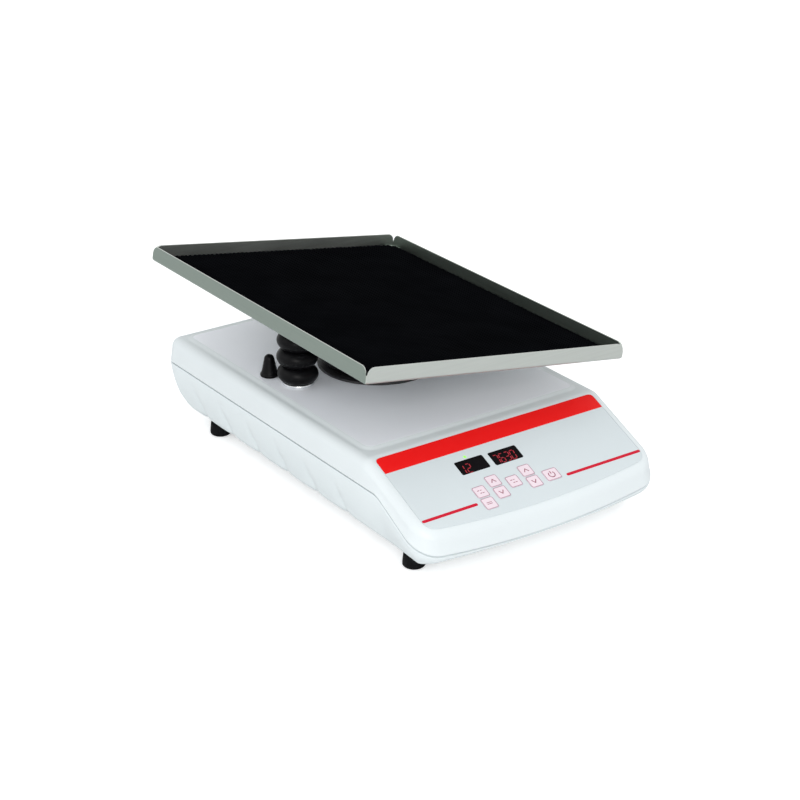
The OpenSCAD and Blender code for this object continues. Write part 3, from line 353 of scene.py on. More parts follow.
def metal(name, colour, rough=0.3, stretch=(12, 900, 900), bump=0.12, vary=0.05):
    """Metal with a brushed or turned grain along one direction."""
    n = Nodes(name)
    v = n.space(stretch)
    lines = n.noise(1.0, 4, v, 0.65)
    n.link(n.ramp(lines, [(0.25, tint(colour, 1 - vary)), (0.75, tint(colour, 1 + vary))]), "Base Color")
    n.link(n.math("ADD", n.span(lines, rough - 0.07, rough + 0.08), n.span(n.noise(18, 3), -0.03, 0.03)), "Roughness")
    n.set(Metallic=1.0)
    n.bump(lines, bump, 0.00008)
    return n.mat


def film(name, colour, rough=0.33, gloss=0.5):
    """Printed polyester film: a very fine texture over flat ink."""
    n = Nodes(name)
    n.link(n.ramp(n.noise(14, 2), [(0.3, tint(colour, 0.985)), (0.7, tint(colour, 1.01))]), "Base Color")
    n.link(n.span(n.noise(400, 2), rough - 0.03, rough + 0.05), "Roughness")
    n.set(Specular_IOR_Level=gloss)
    n.bump(n.noise(5200, 1), 0.05, 0.00005)
    return n.mat


def glow(name, colour, strength):
    n = Nodes(name)
    n.link(n.ramp(n.noise(700, 1), [(0.2, tint(colour, 0.8)), (0.8, colour)]), "Base Color")
    n.link(n.ramp(n.noise(500, 1), [(0.2, tint(colour, 0.75)), (0.8, colour)]), "Emission Color")
    n.set(Emission_Strength=strength, Roughness=0.4)
    return n.mat


def laminate(name, colour):
    n = Nodes(name)
    v = n.space((1, 1, 1), (0.3, 0.2, 0.7))
    weave = n.noise(900, 2, v)
    n.link(n.ramp(weave, [(0.35, tint(colour, 0.8)), (0.65, tint(colour, 1.15))]), "Base Color")
    n.set(Roughness=0.35)
    n.bump(weave, 0.1, 0.0001)
    return n.mat


WHITE = (0.710, 0.760, 0.774)
M = {
    "cover": plastic("cover_plastic", WHITE, 0.40, 0.05),
    # deck: a brighter copy of the cover plastic, painted light that lifts the deck in the tray's shade
    "deck": plastic("deck_plastic_painted_light", (0.905, 0.930, 0.985), 0.36, 0.05),
    "pan": plastic("pan_plastic", (0.735, 0.792, 0.806), 0.46, 0.09, 2200),
    "overlay": film("overlay_film", (0.635, 0.695, 0.715)),
    "red": film("red_ink", (0.84, 0.006, 0.006), 0.36, 0.2),
    "crimson": film("crimson_ink", (0.60, 0.006, 0.030), 0.36, 0.15),
    "key": film("key_film", (0.83, 0.70, 0.76), 0.38),
    "mauve": film("mauve_ink", (0.44, 0.22, 0.30), 0.4),
    "legend": film("legend_ink", (0.27, 0.03, 0.075), 0.4, 0.2),
    "lens": plastic("lens_plastic", (0.004, 0.003, 0.004), 0.3, 0.01, 900, 0.1, 0.05),
    "digit": glow("digit_glow", (0.36, 0.006, 0.018), 0.30),
    "led": glow("led_glow", (0.30, 0.85, 0.12), 0.75),
    "black": plastic("black_plastic", (0.018, 0.018, 0.020), 0.45, 0.12, 1800, 0.15),
    "rubber": rubber("boot_rubber", (0.0030, 0.0030, 0.0036), 0.33, 0.10, 0.10),
    "foot": rubber("foot_rubber", (0.004, 0.004, 0.0045), 0.6, 0.25, 0.08),
    "mat": rubber("mat_rubber", (0.0026, 0.0028, 0.0034), 0.8, 0.18, 0.0),
    # the tray's sheet: plain steel, and a darker, greener copy of it with the same grain, which is painted shade on
    # the side lips standing in for their dimmer light and the dark mat they reflect
    "tray_plain": metal("tray_steel_plain", (0.54, 0.57, 0.54), 0.33, (9, 9, 700)),
    "tray_painted_shade": metal("tray_steel_painted_shade", (0.27, 0.32, 0.285), 0.33, (9, 9, 700)),
    "zinc": metal("zinc_steel", (0.62, 0.63, 0.64), 0.32, (300, 300, 300), bump=0.08),
    "shaft": metal("shaft_steel", (0.55, 0.56, 0.57), 0.22, (900, 40, 900)),
    "spring": metal("spring_steel", (0.07, 0.07, 0.075), 0.38, (500, 500, 500)),
    "sheet": metal("chassis_steel", (0.58, 0.60, 0.61), 0.36, (60, 400, 400)),
    "alu": metal("cast_aluminium", (0.62, 0.63, 0.64), 0.38, (220, 220, 220), bump=0.2),
    "case": metal("gear_case", (0.42, 0.44, 0.46), 0.35, (900, 60, 900)),
    "motor": plastic("motor_lacquer", (0.02, 0.02, 0.022), 0.38, 0.15, 1500, 0.12),
    "bronze": metal("sintered_bronze", (0.52, 0.34, 0.13), 0.42, (600, 600, 600), bump=0.3),
    "board": laminate("board_laminate", (0.02, 0.16, 0.07)),
    "tape": plastic("winding_tape", (0.62, 0.44, 0.06), 0.35, 0.1, 700, 0.06),
    "sleeve": plastic("capacitor_sleeve", (0.03, 0.05, 0.14), 0.3, 0.05, 900, 0.1),
    "inlet": plastic("inlet_plastic", (0.015, 0.015, 0.017), 0.4, 0.15, 1400, 0.12),
    "collar": metal("collar_metal", (0.80, 0.82, 0.84), 0.24, (500, 500, 900)),
}
SLOT_LOOK = {
    "pan_plastic": "pan", "cover_plastic": "cover", "overlay_film": "overlay", "key_film": "key",
    "dark_lens": "lens", "display_plastic": "black", "led_green": "led", "board_laminate": "board",
    "switch_plastic": "black", "black_rubber": "rubber", "mat_rubber": "mat", "tray_steel": "tray_plain",
    "zinc_steel": "zinc", "shaft_steel": "shaft", "spring_steel": "spring", "chassis_steel": "sheet",
    "cast_aluminium": "alu", "gear_case": "case", "motor_case": "motor", "bronze": "bronze",
    "transformer_body": "tape", "capacitor_sleeve": "sleeve", "inlet_plastic": "inlet", "collar_metal": "collar",
}
node_slot = {s["node"]: s["material_slot"] for s in record["subparts"]}
for node, ob in frame["nodes"].items():
    ob.data.materials.clear()
    ob.data.materials.append(M[SLOT_LOOK[node_slot[node]]])
frame["nodes"]["rubber_feet"].data.materials[0] = M["foot"]

# ---------------------------------------------------------------- camera, fitted to the photograph
cam_data = bpy.data.cameras.new("camera")
cam_data.sensor_width, cam_data.lens = 36.0, 90.698
cam = link(bpy.data.objects.new("camera", cam_data))
cam.location = (-0.968739, -1.41187, 0.818963)
cam.rotation_euler = (math.radians(90 - 24.241), math.radians(0.0), math.radians(-35.145))
cam_data.clip_start, cam_data.clip_end = 0.05, 50
bpy.context.scene.camera = cam

# ---------------------------------------------------------------- cover
SIDE_YS = [120, 80, 40, 0, -40, -80, -120, -150] + [PANEL_Y + d for d in (3, 2, 1, 0, -1, -2, -3)] + \
    [-172] + [SEAM_Y + d for d in (5, 2.5, 0, -2.5, -5)] + [-200]


def cover_ring(inset, drop):
    return [(x, y, top_at(y) - drop) for x, y in whole(housing_half(inset, SIDE_YS))]


def seam_ring(inset, rise):
    return [(x, y, seam_at(y) + rise) for x, y in whole(housing_half(inset, SIDE_YS))]


def blend_rings(a, b, t):
    return [tuple(p + (q - p) * t for p, q in zip(u, v)) for u, v in zip(a, b)]


def deck_ring(grow, z):
    """Outline of the raised deck, grown by this much."""
    mid, l, r = (DECK_BACK - DECK_FRONT) / 2, (DECK_BACK + DECK_FRONT) / 2 + grow, DECK_R + grow
    return [(x, y + mid, z) for x, y in whole(half_outline(DECK_HALF_W + grow, l, l, STRAIGHT, r, r, [0], 8, 8, 4))]


def overlay_outline(grow=0.0, nbow=16):
    """Panel film seen along its normal, as (across, down the slope)."""
    return [(x, -y) for x, y in whole(half_outline(OVER_W + grow, grow, OVER_L + grow, OVER_BOW, OVER_R_TOP + grow,
                                                   OVER_R_FRONT + grow, [OVER_SIDE_Y], 6, 8, nbow))]


def build_cover():
    rnd, draft, wall, under = 9.0, 2.0, 2.8, 3.0
    outer = [seam_ring(0.5, 0.0), seam_ring(0.0, 0.5)]
    shoulder = [cover_ring(draft + rnd * (1 - math.cos(math.radians(a))), rnd * (1 - math.sin(math.radians(a))))
                for a in range(0, 91, 9)]
    outer += [blend_rings(outer[1], shoulder[0], t) for t in (0.33, 0.66)] + shoulder
    outer += [cover_ring(draft + rnd + 2.0, 0.0)]
    r2 = rnd - wall
    inner = [seam_ring(wall, 0.0)] + [
        cover_ring(draft + wall + r2 * (1 - math.cos(math.radians(a))), under + r2 * (1 - math.sin(math.radians(a))))
        for a in range(0, 91, 30)]
    ob = new_mesh("cover_shell", *skin(inner[::-1] + outer, "strip"))
    rings = [deck_ring(7.0, TOP_Z - 1.2), deck_ring(7.0, TOP_Z - 0.02)]
    for k in range(9):
        t = k / 8
        rings.append(deck_ring(6.4 * (1 - t), TOP_Z + (DECK_Z - TOP_Z) * (t * t * (3 - 2 * t)) + 0.01))
    rings.append(deck_ring(-1.0, DECK_Z))
    combine(ob, new_mesh("deck", *skin(rings, "strip")), "UNION")
    cuts = merge(turn([(BOOT_HOLE, 60), (BOOT_HOLE, 100)], 96),
                 turn([(BELLOWS_HOLE, 60), (BELLOWS_HOLE, 100)], 48, BELLOWS_X, 0))
    combine(ob, new_mesh("holes", *cuts), "DIFFERENCE")
    combine(ob, new_mesh("recess", *panel_plate(overlay_outline(0.3, 12), -OVER_T, 6), on_panel), "DIFFERENCE")
    finish_piece(shade(ob, 28, 0.25), M["cover"], "base", ["top_cover"])
    # the deck's top faces take the painted-light copy of the cover plastic, brighter to stand in for the light that
    # does not reach under the tray
    ob.data.materials.append(M["deck"])
    for p in ob.data.polygons:
        if p.normal.z > 0.9 and p.center.z > (DECK_Z - 0.1) * MM:
            p.material_index = 1


build_cover()

# ---------------------------------------------------------------- bottom pan
# flutes: number, spacing, distance of the front one from the axle, depth, samples to each
FLUTES, PITCH, F_FRONT, F_DEPTH, STEPS = 5, 48.0, 119.0, 3.3, 24
# the pan's underside, its wall, and the open seam that it leaves under the cover
PAN_Z, PAN_WALL, SEAM_GAP = 12.0, 2.8, 1.3
PAN_IN = PAN_Z + PAN_WALL
# the underside rises under the nose from here, by this slope
NOSE_Y, NOSE_RISE = -216.4, 0.29
# a ring's samples start in front of its back corner, which takes up its inset and radius
PAN_CORNER = 31.6
# rings from the bottom up: share of the height, inset, share of the flutes' depth, least corner radius
PAN = [(0, 19.8, 1, 11.0), (0.008, 17.9, 1, 11.5), (0.024, 16.2, 1, 12), (0.045, 15.0, 1, 12), (0.07, 13.8, 1, 12),
       (0.10, 12.5, 1, 12), (0.14, 11.3, 1, 11), (0.19, 10.2, 1, 9.5), (0.25, 9.1, 1, 8), (0.33, 7.6, 0.95, 6),
       (0.42, 6.0, 0.8, 5), (0.52, 4.35, 0.6, 4), (0.62, 3.0, 0.35, 3), (0.72, 1.9, 0.12, 2), (0.84, 0.85, 0, 2),
       (0.92, 0.35, 0, 2), (0.985, 0.05, 0, 2), (1, 0.4, 0, 2)]
PAN_YS = [y for y in ([-F_FRONT + i * PITCH / STEPS for i in
                       range(int((FLUTES + 0.5) * STEPS), int(-0.5 * STEPS) - 1, -1)]) if y < BACK - PAN_CORNER] + \
    [-155.0, -170.0] + [SEAM_Y + d for d in (5, 2.5, 0, -2.5, -5)]


def flute(y):
    """Depth of the flutes at y, as a share: sharp ridges with wide hollows between them."""
    if y > -F_FRONT + (FLUTES + 0.5) * PITCH or y < -F_FRONT - PITCH / 2:
        return 0.0
    t = (y + F_FRONT) / PITCH
    return (2 * (t - math.floor(t)) - 1) ** 4


def pan_ring(share, inset, grooved, least):
    ring = []
    for x, y in whole(housing_half(inset, PAN_YS, least)):
        if abs(x) > HALF_W - inset - 0.01:
            x -= math.copysign(F_DEPTH * grooved * flute(y), x)
        ring.append((x, y, PAN_Z + (seam_at(y) - SEAM_GAP - PAN_Z) * share))
    return ring


def under_nose(lift):
    """Wedge that takes away what lies under the nose, raised by this much."""
    rise, reach, side, far, deep = math.atan(NOSE_RISE), 90, 300, -330, -60
    prof = ((NOSE_Y, PAN_Z + lift), (NOSE_Y - reach * math.cos(rise), PAN_Z + lift + reach * math.sin(rise)),
            (far, deep), (NOSE_Y, deep))
    return ([(x, y, z) for x in (-side, side) for y, z in prof],
            [(0, 1, 2, 3), (7, 6, 5, 4), (0, 4, 5, 1), (1, 5, 6, 2), (2, 6, 7, 3), (3, 7, 4, 0)])


def vents(x, lo, hi, pitch=9, width=3):
    """Nine slots side by side, the middle one at x. lo and hi are the (y, z) ends of each."""
    return [cuboid((x - width / 2 + pitch * i, *lo), (x + width / 2 + pitch * i, *hi)) for i in range(-4, 5)]


def build_pan():
    def plain(inset, share):
        return [(x, y, PAN_IN + (seam_at(y) - PAN_IN) * share) for x, y in whole(housing_half(inset, PAN_YS))]

    def rim(inset, rise):
        return [(x, y, seam_at(y) + rise) for x, y in whole(housing_half(inset, PAN_YS))]
    ob = new_mesh("pan_shell", *skin([pan_ring(*r) for r in PAN], "strip"))
    combine(ob, new_mesh("pan_lip", *skin([rim(5.1, -1.6), rim(5.1, 3.0)], "strip")), "UNION")
    inner = [plain(20.6, 0), plain(14.9, 0.22), plain(7.47, 0.6), rim(7.06, -4), rim(7.06, 4)]
    hollow = new_mesh("hollow", *skin(inner, "strip"))
    pad = cuboid((INLET_X - 30, 157.0, 5), (INLET_X + 30, 200.0, 59))
    combine(hollow, new_mesh("pad", *pad), "DIFFERENCE")
    combine(hollow, new_mesh("nose_floor", *under_nose(PAN_WALL)), "DIFFERENCE")
    combine(ob, hollow, "DIFFERENCE")
    combine(ob, new_mesh("nose", *under_nose(0)), "DIFFERENCE")
    # the inlet's flange, the slots in the floor and in the back wall, and the counterbores of the cover screws
    cuts = [cuboid((INLET_X - 26.5, 159.8, INLET_Z - 14.0), (INLET_X + 26.5, 190, INLET_Z + 14.0))]
    cuts += vents(-22, (95, 11), (129, 16.8)) + vents(-38.5, (147.8, 30), (178, 48))
    for s in (-1, 1):
        for x, y in ((104, -150), (104, 62), (104, 142)):
            cuts.append(turn([(4, 5), (4, 14.7)], 32, s * x, y))
    combine(ob, new_mesh("openings", *merge(*cuts)), "DIFFERENCE")
    # cut by itself, because it overlaps the flange's cut
    socket = cuboid((INLET_X - 16.3, 151, INLET_Z - 11.05), (INLET_X + 16.3, 161, INLET_Z + 11.05))
    combine(ob, new_mesh("inlet_cut", *socket), "DIFFERENCE")
    finish_piece(shade(ob, 40), M["pan"], "base", ["bottom_pan"])


build_pan()

# ---------------------------------------------------------------- control panel
KEY_W, KEY_R, POWER_W = 12.2, 1.8, 15.0
WIN_W, WIN_L, WIN_R = 29.4, 14.8, 1.4


def key_width(name):
    return POWER_W if name == "key_power" else KEY_W


def shifted(outline, x, s):
    return [(a + x, b + s) for a, b in outline]


# middles of the keys, windows and light, across the panel and down its slope
KEYS = {
    "key_speed_run": (-50, 64.0), "key_mode": (-50, 77.4),
    "key_speed_up": (-32.5, 57.3), "key_speed_down": (-32.5, 70.7),
    "key_time_run": (-15, 64.0), "key_time_up": (2.5, 57.3), "key_time_down": (2.5, 70.7), "key_power": (22, 69.3),
}
WINDOWS = [(-39.1, 35.2), (-4.2, 35.9)]
LED = (-40, 24.9)


def build_overlay():
    ob = new_mesh("overlay_plate", *panel_plate(overlay_outline(), -OVER_T, 0), on_panel)
    cuts = [panel_plate(round_rect(key_width(k) + 0.5, KEY_W + 0.5, KEY_R + 0.25, 5, *p), -2, 2)
            for k, p in KEYS.items()]
    cuts += [panel_plate(shifted(round_rect(WIN_W + 0.2, WIN_L + 0.2, WIN_R + 0.1), *w), -2, 2) for w in WINDOWS]
    cuts.append(panel_plate(shifted(round_rect(3.0, 3.0, 1.49, 8), *LED), -2, 2))
    combine(ob, new_mesh("windows", *merge(*cuts), on_panel), "DIFFERENCE")
    finish_piece(shade(ob, 30, 0.12, 1), M["overlay"], "base", ["panel_overlay"])


build_overlay()
INK = 0.05  # thickness of a printed layer


def ink(name, outlines, mat, n0=0.002, thick=INK, body="base"):
    parts = [panel_plate(o, n0, n0 + thick) for o in outlines]
    ob = new_mesh(name, *merge(*parts), on_panel)
    return finish_piece(shade(ob, 30), mat, body)


def stripe_outline(depth):
    top = arc(OVER_W - OVER_R_TOP, -OVER_R_TOP, OVER_R_TOP, 90, 0, 6)
    right = [(x, -y) for x, y in top] + [(OVER_W, depth)]
    return [(x - 0.25 * (x > 0), s + 0.2 * (s < 1)) for x, s in right] + \
        [(-x + 0.25, s + 0.2 * (s < 1)) for x, s in right[::-1]]


ink("red_band", [stripe_outline(17.7)], M["red"])
RULES = [(56.6, -88.8), (82.4, 76.0)]  # length and middle of each thin rule
ink("red_rules", [round_rect(length, 2.9, 1.4, 5, x, 74.6) for length, x in RULES], M["crimson"])


def bar(x0, s0, x1, s1, w):
    """Thin stroke between two points."""
    d = math.hypot(x1 - x0, s1 - s0)
    ux, us = (x1 - x0) / d, (s1 - s0) / d
    px, ps = -us * w / 2, ux * w / 2
    return [(x0 + px, s0 + ps), (x1 + px, s1 + ps), (x1 - px, s1 - ps), (x0 - px, s0 - ps)]


def ring_strokes(w, l, r, t):
    """Rounded frame as four-sided strokes between an outer and an inner outline."""
    a, b = round_rect(w, l, r, 5), round_rect(w - 2 * t, l - 2 * t, max(r - t, 0.1), 5)
    n = len(a)
    return [[a[i], a[(i + 1) % n], b[(i + 1) % n], b[i]] for i in range(n)]


def key_marks(name):
    if name.endswith("_up"):
        return [bar(-2.3, 1.7, 0.15, -1.9, 0.75), bar(-0.15, -1.9, 2.3, 1.7, 0.75)]
    if name.endswith("_down"):
        return [bar(-2.3, -1.7, 0.15, 1.9, 0.75), bar(-0.15, 1.9, 2.3, -1.7, 0.75)]
    if name == "key_power":
        marks = [bar(0, -3.6, 0, -0.6, 0.8)]
        pts = [(3.0 * math.cos(math.radians(a)), 0.2 + 3.0 * math.sin(math.radians(a))) for a in range(-50, 231, 20)]
        return marks + [bar(*p, *q, 0.8) for p, q in zip(pts, pts[1:])]
    if name == "key_mode":
        return [bar(-2.6, -0.8, 2.6, -0.8, 0.5), bar(-2.6, 0.8, 2.6, 0.8, 0.5)]
    return [bar(-2.8, -1.5, -0.6, -1.5, 0.6), bar(0.2, -1.5, 1.6, -1.5, 0.6),
            bar(-1.4, 1.5, 0.4, 1.5, 0.6), bar(1.1, 1.5, 2.8, 1.5, 0.6)]


for name, (kx, ks) in KEYS.items():
    w = key_width(name)
    dome = []
    for inset, n in ((0, -0.3), (0, 0.13), (0.12, 0.25), (1.1, 0.25), (1.8, 0.22)):
        rim = round_rect(w - 2 * inset, KEY_W - 2 * inset, max(KEY_R - inset, 0.3), 5)
        dome.append([(x + kx, s + ks, n) for x, s in rim])
    cap = skin(dome)
    post = turn([(2, -3.85), (2, -0.28)], 24, kx, ks)
    ob = new_mesh("cap_" + name, *merge(cap, post), on_panel)
    finish_piece(shade(ob, 50), M["key"], name, [name])
    frame_ring = [shifted(q, kx, ks) for q in ring_strokes(w - 0.2, KEY_W - 0.2, KEY_R - 0.1, 0.55)]
    marks = [shifted(q, kx, ks) for q in key_marks(name)]
    ink("frame_" + name, frame_ring, M["mauve"], 0.2, 0.053, name)
    ink("mark_" + name, marks, M["legend"], 0.2, 0.053, name)

# display windows, with the figures lying just inside the tinted face
for k, (wx, ws) in enumerate(WINDOWS):
    rings = [[(x + wx, s + ws, n) for x, s in round_rect(WIN_W - 2 * i, WIN_L - 2 * i, WIN_R, 5)]
             for i, n in ((0, -0.8), (0, -0.12), (0.12, 0.0))]
    ob = new_mesh(f"window_{k}", *skin(rings), on_panel)
    finish_piece(shade(ob, 30), M["lens"], "base", ["display_lenses"] if k == 0 else ())

SEGMENTS = {"0": "abcdef", "1": "bc", "2": "abged", "3": "abgcd", "6": "afedcg", "7": "abc"}


def digit(ch, x, s, h=9.6, w=4.2, t=0.85):
    """Seven-segment figure of height h and width w, with strokes t wide and gaps g at their ends."""
    lean, g = 0.10, 0.25
    y = {"a": -h / 2, "g": 0, "d": h / 2}
    out = []
    for seg in SEGMENTS[ch]:
        if seg in y:
            out.append(bar(-w / 2 + g + t / 2, y[seg], w / 2 - g - t / 2, y[seg], t))
        else:
            sx = w / 2 if seg in "bc" else -w / 2
            s0 = -h / 2 if seg in "bf" else 0
            out.append(bar(sx, s0 + g + t / 2, sx, s0 + h / 2 - g - t / 2, t))
    return [[(a - lean * b + x, b + s) for a, b in q] for q in out]


# plain numbers: the figures, the first one's place and their spacing
NUMBERS = [("12", -50.6, 37.4, 6.7), ("7630", -14.6, 37.6, 5.8)]
figures = [stroke for text, x, s, pitch in NUMBERS for i, ch in enumerate(text)
           for stroke in digit(ch, x + i * pitch, s)]
figures += [round_rect(0.9, 0.9, 0.4, 3, -0.2, 42.6)]
ink("figures", figures, M["digit"], 0.0, 0.02)
led_profile = [(1.7, -9), (1.7, -6), (1.4, -5.98), (1.4, -0.5), (1.3, -0.2), (1.0, -0.02)]
ob = new_mesh("light", *turn(led_profile, 20, *LED), on_panel)
finish_piece(shade(ob, 40), M["led"], "base", ["status_led"])

# ---------------------------------------------------------------- tray
# half width, half length, sheet, height of the lips, radius of their ends, height above the axle
TW, TL, TT, LIP, NOTCH, RISE = 139.7, 177.8, 1.5, 14.6, 7.0, 20.9


def tray_perimeter(inset, r):
    """Points round the tray with the distance of each to its nearest corner."""
    w, l = TW - inset, TL - inset
    pts = []

    def side(x0, y0, x1, y1):
        n = math.hypot(x1 - x0, y1 - y0)
        stops = [0, 0.5, 1, 1.5, 2.2, 3, 4, 5, 6, 7, 9, 14, 30]
        ts = [s / n for s in stops] + [0.25, 0.5, 0.75] + [1 - s / n for s in stops[::-1]]
        return [(x0 + (x1 - x0) * t, y0 + (y1 - y0) * t, min(t, 1 - t) * n) for t in ts]
    c = r * (1 - math.sqrt(0.5))
    corners = [(w, l), (w, -l), (-w, -l), (-w, l)]
    for k in range(4):
        (x0, y0), (x1, y1) = corners[k], corners[(k + 1) % 4]
        dx, dy = np.sign(x1 - x0), np.sign(y1 - y0)
        pts += side(x0 + dx * r, y0 + dy * r, x1 - dx * r, y1 - dy * r)
        pts.append((x1 - math.copysign(c, x1), y1 - math.copysign(c, y1), 0.0))
    return pts


def rim_height(d):
    """Height of the lip at distance d from a corner, where its end is rounded."""
    return LIP - (NOTCH - math.sqrt(max(0.0, NOTCH ** 2 - (NOTCH - min(d, NOTCH)) ** 2)))


def tray_ring(inset, r, z=None, below=0.0):
    return [(x, y, RISE + (rim_height(d) - below if z is None else z)) for x, y, d in tray_perimeter(inset, r)]


def build_tray():
    rings = [tray_ring(4.0, 0.5, 0.0), tray_ring(2.2, 0.6, 0.0)]
    for a in (30, 60, 90):
        q = math.radians(a)
        rings.append(tray_ring(2.2 * (1 - math.sin(q)), 0.6, 2.2 * (1 - math.cos(q))))
    rings += [tray_ring(0, 0.6, 3.5), tray_ring(0, 0.6, 6.0), tray_ring(0, 0.6, None, 0.35),
              tray_ring(0.12, 0.55, None, 0.1), tray_ring(0.4, 0.5, None, 0),
              tray_ring(TT - 0.4, 0.4, None, 0), tray_ring(TT - 0.12, 0.35, None, 0.1),
              tray_ring(TT, 0.3, None, 0.35), tray_ring(TT, 0.3, 6.0), tray_ring(TT, 0.3, 3.0)]
    for a in (0, 45, 90):
        q = math.radians(a)
        rings.append(tray_ring(TT + 1.2 * (1 - math.cos(q)), 0.3, TT + 1.2 * (1 - math.sin(q))))
    rings.append(tray_ring(TT + 2.2, 0.3, TT))
    ob = new_mesh("tray_sheet", *skin(rings), in_tray)
    finish_piece(shade(ob, 35), M["tray_plain"], "tray", ["tray"])
    # faces turned to the sides take the painted-shade copy of the steel
    ob.data.materials.append(M["tray_painted_shade"])
    for p in ob.data.polygons:
        if abs(p.normal.x) > 0.72:
            p.material_index = 1


build_tray()


def build_mat():
    w, l, t, r, pitch = 135.7, 173.8, 3.0, 9.0, 4.8
    base = t - 0.55
    n = int(2 * w / pitch)
    prof = [(-w, base)]
    for k in range(n + 1):
        c = -n * pitch / 2 + k * pitch
        for dx, z in ((-1.15, base), (-0.95, t - 0.12), (-0.75, t), (0.75, t), (0.95, t - 0.12), (1.15, base)):
            if abs(c + dx) < w:
                prof.append((c + dx, z))
    prof.append((w, base))

    def end(x):
        d = abs(x) - (w - r)
        return l if d <= 0 else l - r + math.sqrt(max(0.0, r * r - d * d))
    verts, faces = [], []
    for x, z in prof:
        e = end(x)
        verts += [(x, -e, 0), (x, -e, z), (x, e, z), (x, e, 0)]
    m = len(prof)
    for k in range(m - 1):
        a, b = 4 * k, 4 * (k + 1)
        faces += [(a + 1, a + 2, b + 2, b + 1), (a, a + 1, b + 1, b),
                  (a + 2, a + 3, b + 3, b + 2), (a + 3, a, b, b + 3)]
    faces += [(0, 3, 2, 1), (4 * m - 4, 4 * m - 3, 4 * m - 2, 4 * m - 1)]
    ob = new_mesh("ribbed_mat", [(x, y, z + RISE + TT) for x, y, z in verts], faces, in_tray)
    finish_piece(shade(ob, 40), M["mat"], "tray", ["tray_mat"])


build_mat()

# ---------------------------------------------------------------- rubber boots
def boot(name, node, cx0, cx1, profile, z0, z1, steps):
    """Skin of rings, each turned about the axle by its share of the tilt. profile gives (share, radius)."""
    rings = []
    for share, r in profile:
        a = TILT * min(max(share, 0), 1)
        cx, z = cx0 + (cx1 - cx0) * share, z0 + (z1 - z0) * share - PIVOT_Z
        ring = []
        for i in range(steps):
            q = 2 * math.pi * i / steps
            x, y = cx + r * math.cos(q), r * math.sin(q)
            ring.append((x * math.cos(a) + z * math.sin(a), y, PIVOT_Z - x * math.sin(a) + z * math.cos(a)))
        rings.append(ring)
    ob = new_mesh(name, *skin(rings, "loop"))
    shade(ob, 60)
    ob.data.materials.clear()
    ob.data.materials.append(M["rubber"])
    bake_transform(ob)
    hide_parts(node)


def folds(outer, neck, count, steps, part=1.0):
    """Rings of round folds in the lower part of the height, with a plain neck above them."""
    out = []
    for k in range(count * steps + 1):
        f = (k % steps) / steps
        out.append((part * k / (count * steps), neck + (outer - neck) * math.sin(math.pi * f) ** 0.6))
    return out if part == 1 else out + [(part + 0.03, neck + 0.3), (1, neck + 0.3)]


# lower and upper ends of both boots
Z0, Z1 = 90.0, PIVOT_Z + 17.88 - 0.3
bell = folds(18.7, 12.4, 3, 22, 0.78)
boot("bellows_skin", "drive_bellows", BELLOWS_X, -88.0, bell + [(1, 11.0), (0.5, 11.0), (0, 11.0)], Z0, Z1, 56)
cent = folds(54.0, 47.0, 3, 16)
boot("boot_skin", "central_boot", 0, 0, cent + [(1, 45.5), (0.5, 45.5), (0, 45.5)], Z0, Z1, 112)


def flat_ring(name, node, cx, outer, inner, mat, steps=112):
    """Flat clamp ring on the deck, with its outer edge eased."""
    prof = [(inner, 0.0), (outer - 0.2, 0.0), (outer, 0.2), (outer, 1.6), (outer - 0.25, 2.2),
            (outer - 0.8, 2.5), (inner + 0.2, 2.5), (inner, 2.3)]
    ring = turn([(r, DECK_Z + z) for r, z in prof], steps, cx, 0.0, "loop")
    finish_piece(shade(new_mesh(name, *ring), 35), mat, "base", [node])


flat_ring("boot_ring", "boot_clamp_ring", 0, 56, BOOT_HOLE, M["black"])
flat_ring("collar_ring", "bellows_collar", BELLOWS_X, 14.5, BELLOWS_HOLE, M["collar"], 64)

# ---------------------------------------------------------------- bump stops and feet
BUMP_X, BUMP_Y = 99, 29.3
FOOT_X, FOOT_YS = 105.8, (-206.4, 111)


def bump_profile():
    r, h, tip = 8.6, 20.8, 4.8
    p = [(r - 1.6, 0.0), (r - 0.7, 0.05), (r - 0.2, 0.4), (r, 1.0), (r, 1.9), (r - 0.2, 2.5), (r - 0.75, 3.1),
         (r - 1.3, 4.0)]
    p += [(r - 1.3 + (tip - r + 1.3) * t, 4.0 + (h - tip - 4.0) * t) for t in (0.33, 0.66, 1.0)]
    p += [(tip * math.cos(math.radians(a)), h - tip + tip * math.sin(math.radians(a)))
          for a in (15, 30, 45, 60, 75, 86)]
    return [(q, DECK_Z + z) for q, z in p]


for k, s in enumerate((-1, 1)):
    body_v = turn(bump_profile(), 48, s * BUMP_X, BUMP_Y)
    stud = turn([(2, 80), (2, DECK_Z + 0.5)], 24, s * BUMP_X, BUMP_Y)
    ob = new_mesh(f"bump_{k}", *merge(body_v, stud))
    finish_piece(shade(ob, 50), M["rubber"], "base", ["bump_stops"] if k == 0 else ())

# a foot's profile from its screw recess, up the outside and down the bore
foot_profile = [(4, 0), (8.2, 0.0), (8.8, 0.25), (9.5, 0.9), (9.9, 1.6), (9.95, 3), (9.6, 7), (9.2, 10.5), (9.0, 12),
                (2.05, 12), (2.05, 6), (4, 6)]
for k, (x, y) in enumerate([(sx * FOOT_X, y) for sx in (-1, 1) for y in FOOT_YS]):
    ob = new_mesh(f"foot_{k}", *turn(foot_profile, 48, x, y, "loop"))
    finish_piece(shade(ob, 40), M["foot"], "base", ["rubber_feet"] if k == 0 else ())

# ---------------------------------------------------------------- floor, light
FLOOR, FLOOR_Z = 6000, -0.01  # half width of the floor, and its height just under the feet


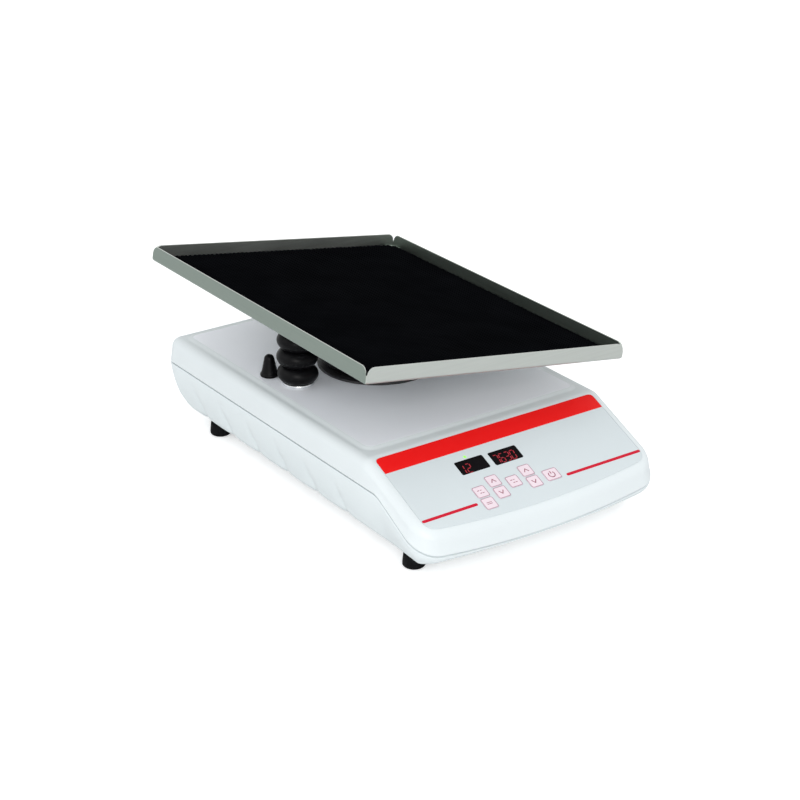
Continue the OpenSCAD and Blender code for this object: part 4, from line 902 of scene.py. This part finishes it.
def backdrop():
    """Pale paper that the camera sees as white, with the object's shadow left on it."""
    n = Nodes("floor_paper")
    n.link(n.ramp(n.noise(3, 2), [(0.3, (0.86, 0.86, 0.86)), (0.7, (0.88, 0.88, 0.88))]), "Base Color")
    n.set(Roughness=0.9, Specular_IOR_Level=0.1)
    path = n.t.nodes.new("ShaderNodeLightPath")
    n.set(Emission_Color=(1, 1, 1, 1))
    n.link(n.math("MULTIPLY", path.outputs["Is Camera Ray"], 0.42), "Emission Strength")
    return n.mat


corners = [(-FLOOR, -FLOOR, FLOOR_Z), (FLOOR, -FLOOR, FLOOR_Z), (FLOOR, FLOOR, FLOOR_Z), (-FLOOR, FLOOR, FLOOR_Z)]
floor = new_mesh("floor", corners, [(0, 1, 2, 3)])
floor.data.materials.append(backdrop())

# the world is plain white where the camera, a mirror or glass sees it, and soft light elsewhere
world = bpy.data.worlds.new("studio")
bpy.context.scene.world = world
world.use_nodes = True
wt = world.node_tree
wt.nodes.clear()
out = wt.nodes.new("ShaderNodeOutputWorld")
seen, soft = wt.nodes.new("ShaderNodeBackground"), wt.nodes.new("ShaderNodeBackground")
mix = wt.nodes.new("ShaderNodeMixShader")
seen.inputs["Color"].default_value, seen.inputs["Strength"].default_value = (1, 1, 1, 1), 1.0
soft.inputs["Color"].default_value, soft.inputs["Strength"].default_value = (0.97, 0.985, 1.0, 1), 0.84
path = wt.nodes.new("ShaderNodeLightPath")
m1, m2 = wt.nodes.new("ShaderNodeMath"), wt.nodes.new("ShaderNodeMath")
m1.operation = m2.operation = "MAXIMUM"
wt.links.new(path.outputs["Is Camera Ray"], m1.inputs[0])
wt.links.new(path.outputs["Is Glossy Ray"], m1.inputs[1])
wt.links.new(m1.outputs[0], m2.inputs[0])
wt.links.new(path.outputs["Is Transmission Ray"], m2.inputs[1])
wt.links.new(m2.outputs[0], mix.inputs["Fac"])
wt.links.new(soft.outputs[0], mix.inputs[1])
wt.links.new(seen.outputs[0], mix.inputs[2])
wt.links.new(mix.outputs[0], out.inputs["Surface"])


def lamp(name, where, aim, size, power, colour=(1, 1, 1)):
    d = bpy.data.lights.new(name, "AREA")
    d.shape, d.size, d.size_y, d.energy, d.color = "RECTANGLE", size[0], size[1], power, colour
    ob = link(bpy.data.objects.new(name, d))
    ob.location = where
    ob.rotation_euler = (Vector(aim) - Vector(where)).to_track_quat("-Z", "Y").to_euler()


lamp("key", (-1.2, -1.75, 1.0), (0, 0, 0.08), (1.2, 0.9), 19, (1.0, 0.99, 0.975))
lamp("left", (-1.8, 0.5, 1.1), (0, 0, 0.08), (1.2, 0.9), 3, (1.0, 1.0, 1.0))
lamp("right", (1.8, -0.9, 0.62), (0, 0, 0.05), (1.2, 0.7), 2, (0.97, 0.985, 1.0))
lamp("top", (0.1, 0.3, 2.2), (0, 0, 0.05), (1.6, 1.6), 3)

bpy.context.scene.view_settings.view_transform = "Standard"
